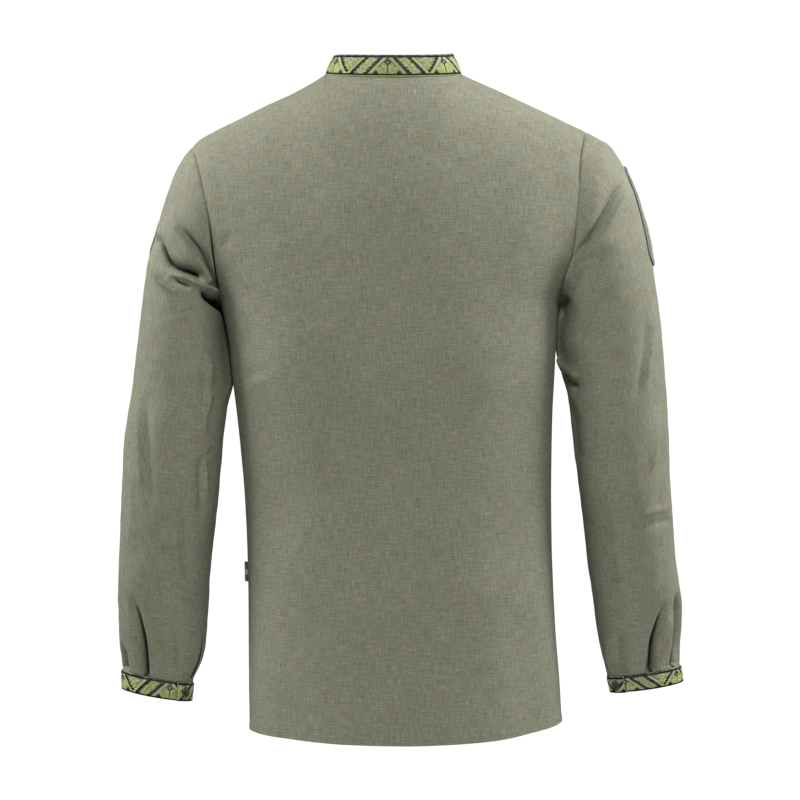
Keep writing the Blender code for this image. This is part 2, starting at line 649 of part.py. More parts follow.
def sleeve_solid(side, points, normals, collection):
    name = "sleeve_left" if side > 0 else "sleeve_right"
    number, _, first = VENT["left" if side > 0 else "right"]
    halves = np.zeros(len(points))
    halves[first:] = np.interp(
        np.linspace(0, 1, len(points) - first), np.linspace(0, 1, len(VENT_HALF)), VENT_HALF
    )
    outer = inset(points, rows=(0, -1))
    inner = inset(points - normals * WALL, rows=(0, -1))
    outer, numbers = open_column(outer, number, halves)
    inner, _ = open_column(inner, number, halves)
    quads = grid_quads(numbers, wrap=True, turn=side, gap_column=number)
    cloth(name, outer.reshape(-1, 3), inner.reshape(-1, 3), quads, LINEN, collection)


# Bands
def cuff_point(side, angle, down):
    """Point of a cuff, from its top edge at 0 to its bottom edge at 1."""
    top, bottom = CUFF_LEFT if side > 0 else CUFF_RIGHT
    oz, ox, iz, ix, y, depth = along(top[1:], bottom[1:], down)
    c, s = math.cos(angle), math.sin(angle)
    x = (ox + ix) / 2 + (ox - ix) / 2 * c
    z = (oz + iz) / 2 + (oz - iz) / 2 * c
    return depth_scale(np.array([side * x, y + depth * s, z])) - (0.0, 0.0, CUFF_DROOP * s)


def cuff(side, collection):
    """Cuff band whose end laps over its start, with its button."""
    where = "left" if side > 0 else "right"
    degrees = np.linspace(CUFF_START, CUFF_START + CUFF_TURN, 45)
    angles = np.radians(degrees)
    points = np.array([[cuff_point(side, a, d) for a in angles] for d in (0.0, 1.0)])
    normals = grid_normals(points, False, side)
    lap = (BAND_WALL + BAND_LAP) * (1 - ease((degrees - CUFF_START - 34) / 40))
    lap = lap[None, :, None]
    outer = points + normals * lap
    strip(f"cuff_{where}", outer, outer - normals * BAND_WALL, BAND, collection, turn=side)
    at = np.radians(CUFF_BUTTON_ANGLE[where])
    place = np.array([np.interp(at, angles, outer[:, :, i].mean(axis=0)) for i in range(3)])
    out = np.array([np.interp(at, angles, normals[:, :, i].mean(axis=0)) for i in range(3)])
    button(f"button_cuff_{where}", place, unit(out), collection)


def neckline(turn):
    """Point of the neckline, the turn in degrees from the front round over the wearer's left."""
    a = math.radians(turn)
    side = 1 if math.sin(a) >= 0 else -1
    face = 1 if math.cos(a) < 0 else -1
    q = neck_share(side) * math.sin(a)
    return upper_point(q, 1.0, face)


def collar(collection):
    """Collar band round the neckline, its left end over its right end at the front."""
    turns = COLLAR_START + COLLAR_STEP * np.arange(COLLAR_STEPS + 1)
    foot = np.array([neckline(t) for t in turns])
    ahead = np.cos(np.radians(turns)) > 0.05
    foot[:, 2] += np.where(ahead, COLLAR_FOOT_FRONT, COLLAR_FOOT_BACK)
    lean = through(column(COLLAR_LEAN, 0), column(COLLAR_LEAN, 1), turns)
    inward = unit(-foot * (1, 1, 0))
    rise = np.sqrt(COLLAR_HEIGHT**2 - lean**2)
    up = inward * lean[:, None] + np.array([0, 0, 1.0]) * rise[:, None]
    points = np.array([foot + up * share for share in (1.0, 0.5, 0.0)])
    points[1] -= inward * COLLAR_BULGE
    facing = grid_normals(points, False, 1)
    normals = unit(facing * (1, 1, 0))
    lap = (BAND_WALL + BAND_LAP) * (1 - ease((turns - COLLAR_START - 26) / 26))
    lap = lap[None, :, None]
    outer = points + normals * lap
    strip("collar", outer, outer - normals * BAND_WALL, BAND, collection)
    place = np.array([np.interp(0.0, turns, outer[1, :, i]) for i in range(3)])
    out = unit(np.array([np.interp(0.0, turns, facing[1, :, i]) for i in range(3)]))
    button("button_collar", place, out, collection)


# Buttons, placket, patches and tab
def button(name, place, out, collection):
    """Round button with a raised rim and four holes, standing 0.4 mm off the cloth."""
    profile = (
        (0.0, 0.0), (0.82, 0.0), (1.0, 0.3), (0.94, 1.0), (0.76, 1.0), (0.66, 0.72), (0.0, 0.72),
    )
    count = 14
    bm = bmesh.new()
    rings = []
    for r, h in profile:
        if r == 0.0:
            rings.append([bm.verts.new((0, 0, h * BUTTON_THICK * MM))])
            continue
        rings.append([
            bm.verts.new((
                r * BUTTON_RADIUS * math.cos(2 * math.pi * i / count) * MM,
                r * BUTTON_RADIUS * math.sin(2 * math.pi * i / count) * MM,
                h * BUTTON_THICK * MM,
            ))
            for i in range(count)
        ])
    for low, high in zip(rings, rings[1:]):
        for i in range(count):
            k = (i + 1) % count
            corners = [low[i % len(low)], low[k % len(low)], high[k % len(high)], high[i % len(high)]]
            bm.faces.new(list(dict.fromkeys(corners)))
    bmesh.ops.recalc_face_normals(bm, faces=bm.faces)
    mesh = bpy.data.meshes.new(name)
    bm.to_mesh(mesh)
    bm.free()
    obj = add_object(name, mesh, HORN, collection)
    drill = hole_cutter(f"{name}_holes")
    cut = obj.modifiers.new("holes", "BOOLEAN")
    cut.operation = "DIFFERENCE"
    cut.solver = "EXACT"
    cut.object = drill
    place_on(obj, place, out)
    place_on(drill, place, out)


def hole_cutter(name):
    """Four pins that drill a button."""
    bm = bmesh.new()
    for i in range(4):
        angle = math.pi / 4 + i * math.pi / 2
        made = bmesh.ops.create_cone(
            bm, cap_ends=True, segments=6, radius1=0.75 * MM, radius2=0.75 * MM, depth=6 * MM
        )
        shift = (1.75 * MM * math.cos(angle), 1.75 * MM * math.sin(angle), 0.5 * MM)
        bmesh.ops.translate(bm, verts=made["verts"], vec=shift)
    mesh = bpy.data.meshes.new(name)
    bm.to_mesh(mesh)
    bm.free()
    obj = bpy.data.objects.new(name, mesh)
    obj.hide_render = True
    obj.display_type = "WIRE"
    cutters.objects.link(obj)
    return obj


def place_on(obj, place, out):
    """Stands an object on a place of the cloth, its own Z outward."""
    z = unit(np.asarray(out, float))
    x = unit(np.cross((0.0, 0.0, 1.0), z))
    y = np.cross(z, x)
    origin = (np.asarray(place) + z * BUTTON_GAP) * MM
    obj.matrix_world = Matrix([[x[i], y[i], z[i], origin[i]] for i in range(3)] + [[0, 0, 0, 1]])


def placket(front, front_n, collection):
    """Strip over the chest slit, made from the front panel's rows."""
    middle = front.shape[1] // 2
    rows = [i for i in range(2, len(front)) if front[i, middle, 2] > PLACKET_BOTTOM]
    outer, inner = [], []
    for i in rows:
        xs = front[i, ::-1, 0]
        places = np.array([
            [np.interp(x, xs, front[i, ::-1, k]) for k in range(3)]
            for x in (PLACKET_HALF, PLACKET_HALF / 3, -PLACKET_HALF / 3, -PLACKET_HALF)
        ])
        normals = np.array([
            [np.interp(x, xs, front_n[i, ::-1, k]) for k in range(3)] for x in places[:, 0]
        ])
        inner.append(places + unit(normals) * PLACKET_INNER)
        outer.append(places + unit(normals) * PLACKET_OUTER)
    outer, inner = np.array(outer), np.array(inner)
    strip("placket", outer, inner, LINEN, collection, turn=-1)
    line = (outer[:, 1] + outer[:, 2]) / 2
    for number, z in enumerate(FRONT_BUTTONS, 1):
        place = np.array([np.interp(z, line[::-1, 2], line[::-1, k]) for k in range(3)])
        below = np.searchsorted(-line[:, 2], -z)
        way = unit(line[below] - line[below - 1])
        button(f"button_front_{number}", place, np.cross(way, (1.0, 0.0, 0.0)), collection)


def on_grid(points, row, col):
    """Point of a closed grid at a share between its rows and columns."""
    i = min(int(row), len(points) - 2)
    count = points.shape[1]
    j = int(math.floor(col))
    u, v = row - i, col - j
    j, k = j % count, (j + 1) % count
    upper = points[i, j] * (1 - v) + points[i, k] * v
    lower = points[i + 1, j] * (1 - v) + points[i + 1, k] * v
    return upper * (1 - u) + lower * u


def patch(side, points, normals, collection):
    """Rounded field on the upper sleeve, its rows square to the sleeve."""
    where = "left" if side > 0 else "right"
    top, bottom, front_angle, back_top, back_bottom = PATCHES[where]
    axis = np.array([side * PATCH_AXIS[0], 0.0, PATCH_AXIS[1]])
    outer_line = LEFT_OUTER if side > 0 else RIGHT_OUTER
    ends = [
        axis @ (side * through(column(outer_line, 0), column(outer_line, 1), z), 0.0, z)
        for z in (top, bottom)
    ]
    length = ends[1] - ends[0]
    steps = [d * PATCH_CORNER for d in (0.0, 0.2, 0.5, 1.0)]
    steps += list(np.linspace(PATCH_CORNER, length - PATCH_CORNER, 8)[1:-1])
    steps += [length - d for d in steps[3::-1]]
    outer, inner = [], []
    for step in steps:
        back_angle = back_top + (back_bottom - back_top) * step / length
        edge = min(step, length - step, PATCH_CORNER)
        short = PATCH_CORNER - math.sqrt(max(0.0, PATCH_CORNER**2 - (PATCH_CORNER - edge) ** 2))
        trim = math.degrees(short / 57.0)
        row_outer, row_inner = [], []
        for angle in np.linspace(front_angle + trim, back_angle - trim, 13):
            col = angle / 360 * SLEEVE_COLUMNS
            heights = [axis @ on_grid(points, row, col) for row in np.arange(0, 14, 0.25)]
            row = float(np.interp(ends[0] + step, heights, np.arange(0, 14, 0.25)))
            place, n = on_grid(points, row, col), unit(on_grid(normals, row, col))
            row_inner.append(place + n * PATCH_INNER)
            row_outer.append(place + n * PATCH_OUTER)
        outer.append(row_outer)
        inner.append(row_inner)
    strip(f"patch_{where}", np.array(outer), np.array(inner), LOOP, collection, turn=side)


def side_tab(collection):
    """Folded tab that stands out of the left side seam and bends forward."""
    z = np.array([TAB_TOP, (TAB_TOP + TAB_BOTTOM) / 2, TAB_BOTTOM])
    side = np.interp(z, column(TORSO, 0), column(TORSO, 1))
    steps = np.linspace(0, 1, 7)
    bend = np.radians(np.interp(steps, (0.0, 0.3, 1.0), (25.0, 72.0, 88.0)))
    x = np.concatenate([[0], np.cumsum(np.cos((bend[1:] + bend[:-1]) / 2))]) * TAB_LENGTH / 6
    y = -np.concatenate([[0], np.cumsum(np.sin((bend[1:] + bend[:-1]) / 2))]) * TAB_LENGTH / 6
    points = np.array([[(s + 0.5 + dx, dy, h) for dx, dy in zip(x, y)] for s, h in zip(side, z)])
    normals = grid_normals(points, False, 1)
    half = normals * TAB_WALL / 2
    strip("label_side", points + half, points - half, TAB, collection)


def main():
    shirt = bpy.data.collections.new("band_collar_shirt")
    bpy.context.scene.collection.children.link(shirt)
    sleeves = {side: sleeve_grid(side) for side in (1, -1)}
    sleeve_normal_grids = {side: grid_normals(sleeves[side], True, side) for side in (1, -1)}
    front, front_n = torso(shirt, sleeves, sleeve_normal_grids)
    for side in (1, -1):
        sleeve_solid(side, sleeves[side], sleeve_normal_grids[side], shirt)
        patch(side, sleeves[side], grid_normals(sleeves[side], True, side), shirt)
        cuff(side, shirt)
    collar(shirt)
    placket(front, front_n, shirt)
    side_tab(shirt)


for old in list(bpy.data.objects):
    bpy.data.objects.remove(old, do_unlink=True)
cutters = bpy.data.collections.new("cutters")
cutters.hide_render = True
bpy.context.scene.collection.children.link(cutters)
main()
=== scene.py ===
"""A band-collar linen shirt with embroidered bands, in the hollow form it has when worn."""

import math

import bmesh
import bpy
import numpy as np
from mathutils import Matrix, Vector


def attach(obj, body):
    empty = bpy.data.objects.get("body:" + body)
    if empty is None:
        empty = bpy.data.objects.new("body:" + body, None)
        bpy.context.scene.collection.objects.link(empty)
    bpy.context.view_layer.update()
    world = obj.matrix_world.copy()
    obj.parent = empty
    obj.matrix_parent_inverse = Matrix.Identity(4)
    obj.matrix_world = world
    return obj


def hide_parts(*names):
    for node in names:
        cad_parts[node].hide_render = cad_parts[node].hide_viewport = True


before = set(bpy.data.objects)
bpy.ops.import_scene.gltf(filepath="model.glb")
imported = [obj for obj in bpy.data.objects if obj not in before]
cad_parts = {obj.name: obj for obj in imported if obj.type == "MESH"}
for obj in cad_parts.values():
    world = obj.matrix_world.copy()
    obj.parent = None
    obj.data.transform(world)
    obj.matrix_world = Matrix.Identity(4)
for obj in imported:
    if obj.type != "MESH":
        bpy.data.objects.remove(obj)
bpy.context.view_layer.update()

random = np.random.default_rng(7)

MM = 0.001
WALL = 1.3
BAND_WALL = 2.4
BAND_LAP = 0.45
VIEW_DISTANCE = 4000.0
VIEW_X, VIEW_Z = -7.4, -371.5
# One step of the photograph, and the step that shows the origin
STEP, STEP_X, STEP_Y = 1.136, 393.5, 73.0

# Torso rings from hem to underarm
TORSO = (
    # z, left side, right side, depth of back, depth of front
    (-744.0, 163.0, -190.8, 116.0, 121.0),
    (-697.0, 163.8, -188.2, 114.5, 122.0),
    (-644.0, 164.2, -184.1, 112.0, 124.0),
    (-590.0, 164.6, -181.3, 109.0, 125.0),
    (-537.0, 165.9, -179.5, 106.0, 126.0),
    (-480.0, 168.7, -178.9, 105.0, 127.0),
    (-430.0, 173.0, -179.4, 109.0, 130.0),
    (-385.0, 177.8, -180.4, 114.5, 134.0),
    (-349.0, 182.3, -182.3, 119.0, 137.0),
    (-303.0, 187.4, -184.6, 122.8, 139.4),
    (-260.0, 196.0, -187.0, 124.0, 140.0),
)
BACK_POWER, FRONT_POWER = 2.6, 2.4

# Height of the hem against the share of the half width, from the wearer's right to left
BACK_HEM = (
    (-1.0, -734.0), (-0.84, -740.4), (-0.54, -749.2), (-0.23, -752.7), (0.0, -753.8),
    (0.37, -752.4), (0.67, -748.8), (0.95, -744.0), (1.0, -743.0),
)
FRONT_HEM = ((-1.0, -734.0), (-0.6, -746.0), (0.0, -751.0), (0.6, -748.0), (1.0, -743.0))

# Shoulder seams from the neck point to the tip, and the armhole seams from tip to underarm
SHOULDER_LEFT = (
    # x, z
    (76.7, -1.5), (84.9, -7.0), (111.0, -22.0), (147.0, -38.6), (176.0, -53.4),
    (205.0, -67.8), (221.0, -77.2), (227.8, -84.0),
)
SHOULDER_RIGHT = (
    (76.7, -1.5), (84.9, -5.5), (121.0, -21.7), (140.5, -30.7), (180.0, -49.2),
    (216.6, -66.7),
)
ARMHOLE_LEFT = (
    # z, x
    (-260.0, 196.0), (-250.0, 197.0), (-219.0, 200.5), (-174.0, 205.7), (-122.0, 216.0),
    (-84.0, 227.8),
)
ARMHOLE_RIGHT = (
    (-260.0, 187.0), (-234.0, 192.0), (-212.0, 199.5), (-182.0, 204.0), (-145.0, 206.5),
    (-100.6, 209.4), (-66.7, 216.6),
)
ARMHOLE_BACK, ARMHOLE_FRONT = 72.0, 78.0

# Neckline
NECK_HALF = 76.7
NECK_BACK_DEPTH, NECK_FRONT_DEPTH = 55.0, 67.0
NECK_BACK_DROP, NECK_FRONT_DROP = 7.5, 60.0
NECK_RIDGE = ((-25.0, 25.0), (0.0, 28.0), (25.0, 25.0), (50.0, 14.5))
BACK_ROUND, FRONT_ROUND = 2.0, 1.35

# Sleeve outlines, outer side then inner side, x outward from the middle of the shirt
LEFT_OUTER = (
    # z, x
    (-84.0, 227.8), (-90.0, 233.4), (-102.0, 241.4), (-116.0, 248.7), (-135.0, 255.8),
    (-155.0, 262.5), (-174.0, 268.3), (-196.0, 274.0), (-208.5, 277.0), (-226.0, 280.5),
    (-250.0, 283.8), (-286.0, 289.0), (-321.5, 292.8), (-360.0, 297.0), (-396.0, 302.4),
    (-462.0, 308.0), (-518.0, 310.8), (-565.0, 312.7), (-594.0, 313.7), (-618.5, 312.5),
    (-644.0, 310.7), (-664.0, 308.7), (-675.0, 307.3),
)
LEFT_INNER = (
    (-260.0, 196.0), (-266.0, 195.9), (-275.0, 194.4), (-303.0, 189.2), (-330.0, 186.3),
    (-349.0, 184.3), (-358.0, 185.6), (-396.0, 190.0), (-420.0, 194.0), (-454.0, 197.0),
    (-499.5, 200.6), (-546.0, 205.4), (-584.0, 209.0), (-612.0, 210.8), (-644.0, 212.8),
    (-660.0, 215.4), (-673.0, 220.0), (-686.0, 226.6), (-688.0, 227.4),
)
RIGHT_OUTER = (
    (-66.7, 216.6), (-74.0, 231.0), (-81.0, 243.0), (-86.0, 248.0), (-95.0, 254.0),
    (-105.0, 260.2), (-112.0, 264.0), (-138.0, 275.3), (-169.0, 285.3), (-195.0, 292.3),
    (-214.0, 295.2), (-234.0, 297.7), (-268.0, 301.8), (-315.0, 305.6), (-371.5, 309.3),
    (-386.0, 310.7), (-462.0, 314.4), (-518.0, 318.2), (-552.0, 321.0), (-575.0, 324.0),
    (-605.5, 327.3), (-621.0, 327.5), (-644.0, 326.4), (-664.0, 325.7), (-672.0, 325.0),
)
RIGHT_INNER = (
    (-260.0, 187.0), (-266.0, 188.3), (-280.0, 187.8), (-303.0, 186.6), (-312.0, 186.8),
    (-332.0, 190.7), (-359.0, 197.3), (-386.0, 200.5), (-424.0, 205.0), (-462.0, 209.8),
    (-509.0, 215.5), (-556.0, 221.0), (-594.0, 225.8), (-642.0, 231.4), (-668.0, 238.0),
    (-684.0, 242.5),
)

# Sleeve rings from armhole to cuff
RINGS_LEFT = (
    # outer z, inner z, y of the middle, half depth, power of the section
    (-84.0, -260.0, -3.0, 75.0, 2.0),
    (-97.0, -265.0, -3.0, 74.0, 2.0),
    (-112.0, -271.0, -3.0, 73.0, 2.0),
    (-129.0, -278.0, -3.0, 71.5, 2.02),
    (-148.0, -286.0, -2.5, 70.0, 2.05),
    (-169.0, -295.0, -2.5, 68.5, 2.08),
    (-192.0, -305.0, -2.0, 67.0, 2.1),
    (-216.0, -315.0, -2.0, 65.5, 2.15),
    (-242.0, -327.0, -2.0, 64.0, 2.2),
    (-270.0, -341.0, -2.0, 62.5, 2.2),
    (-300.0, -359.0, -3.0, 61.5, 2.2),
    (-332.0, -380.0, -3.5, 60.5, 2.2),
    (-366.0, -404.0, -5.0, 59.5, 2.2),
    (-402.0, -431.0, -7.0, 58.5, 2.2),
    (-440.0, -461.0, -10.0, 57.0, 2.2),
    (-477.0, -492.0, -13.0, 55.5, 2.2),
    (-513.0, -523.0, -17.0, 54.0, 2.2),
    (-551.0, -558.0, -22.5, 52.5, 2.2),
    (-587.0, -593.0, -29.0, 50.5, 2.2),
    (-618.0, -627.0, -35.0, 47.5, 2.15),
    (-640.0, -650.0, -39.5, 44.5, 2.1),
    (-658.0, -669.0, -43.0, 41.5, 2.1),
    (-669.0, -681.0, -45.0, 39.5, 2.05),
    (-676.6, -690.4, -46.0, 38.3, 2.0),
)
RIGHT_TOP_RAISE, RIGHT_CUFF_RAISE, RIGHT_CUFF_RAISE_INNER = 17.3, 4.9, 7.4
# Vent slits at the inner back of the sleeves: even angle, angle at the cuff, start
VENT = {"left": (146.25, 152.0, 19 / 23), "right": (168.75, 169.0, 18 / 23)}
VENT_OPEN = {
    # how far the lip toward the outer line and the lip toward the body move apart, start to cuff
    "left": ((0.0, 0.4, 0.8, 0.8, 0.4), (0.0, 6.0, 9.5, 8.5, 2.5)),
    "right": ((0.0, 1.2, 1.6, 1.2, 0.4), (0.0, 1.2, 1.6, 1.2, 0.4)),
}
VENT_REACH = 13.0

# Rows of a band from its top edge down, and how its edges are rounded: depth, reach
BAND_ROWS = (0.0, 0.03, 0.07, *np.linspace(0.12, 0.88, 10), 0.93, 0.97, 1.0)
BAND_EDGE = (0.75, 0.7)
CUFF_COLUMNS, COLLAR_COLUMNS = 260, 340

# Cuffs, outer then inner, x outward from the middle of the shirt
CUFF_LEFT = (
    # height, outer z, outer x, inner z, inner x, y of the middle, half depth
    ("top", -676.9, 309.4, -690.7, 227.9, -46.5, 39.4),
    ("bottom", -698.6, 308.6, -711.8, 230.4, -48.5, 38.4),
)
CUFF_RIGHT = (
    ("top", -672.0, 326.8, -683.3, 243.2, -46.5, 39.4),
    ("bottom", -690.4, 329.0, -701.8, 247.6, -48.5, 38.4),
)
CUFF_START, CUFF_TURN = 124.0, 388.0
# The backs of the cuffs hang lower than their fronts, half of it each way
CUFF_DROOP, DROOP_START = 4.8, 0.76
CUFF_BUTTON_ANGLE = {"left": 139.0, "right": 140.0}
# A middle of the pattern on each cuff, and how many repeats it is from where the pattern turns round
CUFF_MIDDLE = {"left": (472.0, 0), "right": (392.0, 1)}
CUFF_DRAWN = 1.2

# Collar
COLLAR_HEIGHT = 25.4
COLLAR_START, COLLAR_TURN = -15.0, 382.5
COLLAR_FOOT_BACK, COLLAR_FOOT_FRONT = 0.35, 0.7
COLLAR_BULGE = 1.3
# Where the middle of a repeat lies, in degrees round the neck
COLLAR_MIDDLE = 180.0 - 5.1
COLLAR_LEAN = (
    (-90.0, 9.8), (0.0, 4.0), (90.0, 9.8), (180.0, 6.0), (270.0, 9.8), (360.0, 4.0), (450.0, 9.8),
)

# Front opening, placket strip and buttons
SLIT_BOTTOM, SLIT_HALF = -310.0, 1.2
PLACKET_HALF, PLACKET_TOP, PLACKET_BOTTOM = 15.0, -66.0, -352.0
PLACKET_INNER, PLACKET_OUTER, PLACKET_SEWN = 0.5, 1.9, 2.4
FRONT_BUTTONS = (-108.0, -182.0, -256.0)
BUTTON_RADIUS, BUTTON_THICK, BUTTON_GAP = 5.7, 2.2, 0.4

BUTTON_CORNERS, BUTTON_SHARP = 40, 0.6
# Holes: radius and distance from the middle. Thread: radius, length and distance of its two bars
HOLE_RADIUS, HOLE_OFF = 0.8, 1.75
TIE_RADIUS, TIE_LENGTH, TIE_OFF = 0.3, 3.3, 0.28

# Hook-and-loop fields on the upper sleeves, angles from the outer line toward the back
PATCHES = {
    # side: top z, bottom z on the outer line, front angle, back angle at top and at bottom
    "left": (-108.0, -213.0, -80.0, -19.0, -1.0),
    "right": (-106.0, -219.0, -57.0, 13.0, 31.0),
}
PATCH_AXIS = (0.29, -0.957)
PATCH_CORNER, SLEEVE_RADIUS = 19.0, 57.0
PATCH_INNER, PATCH_OUTER = 0.95, 2.2

# Turned hem, the line of its stitches, and the pitch and length of plain sewing
HEM, HEM_LINE = 7.0, 5.4
SEWING = (3.1, 2.3)
# Depth and width of the side seams and the armhole seams, and the sharp edges of cloth
SIDE_SEAM, ARM_SEAM = (0.7, 1.8), (1.9, 1.1)
CLOTH_SHARP = 0.9

# Cord under the back of the collar: turns round the neck, half height, half thickness
PIPING_TURNS, PIPING_HALF_HIGH, PIPING_HALF_THICK = (92.0, 268.0), 1.55, 0.65

# Folded tab in the left side seam
TAB_TOP, TAB_BOTTOM, TAB_LENGTH, TAB_WALL = -555.0, -577.6, 12.0, 1.2

# Power of the profile of narrow creases, the depths between which painted shade darkens their cloth, and the
# depth of the tucks over which painted shade darkens the inner sides of the sleeves
SHARP = 1.5
PAINTED_SHADE_FROM, PAINTED_SHADE_RANGE, TUCK_SHADE_RANGE = 5.5, 8.0, 26.0
# The inner sides of the sleeves lean on the body over this depth of their tucks
TOUCH, TUCK_DEEP = 2.2, 12.0

# Uneven waves in the cloth: size, shortest, longest
BODY_SWELL, BODY_GRAIN = (0.9, 70.0, 190.0), (0.16, 16.0, 45.0)
SLEEVE_SWELL, SLEEVE_GRAIN = (0.7, 34.0, 110.0), (0.16, 12.0, 34.0)
PILE = (0.16, 1.8, 4.0)
WAVES = 22

# Mesh sizes
ARMHOLE_ROWS, BODY_ROWS = 104, 122
# Columns along a shoulder and along the neckline
BACK_COLUMNS, FRONT_COLUMNS = (62, 60), (34, 36)
SLEEVE_COLUMNS, SLEEVE_ROWS, SLEEVE_BUNCH, RING_BUNCH = 180, 240, 0.45, 0.035

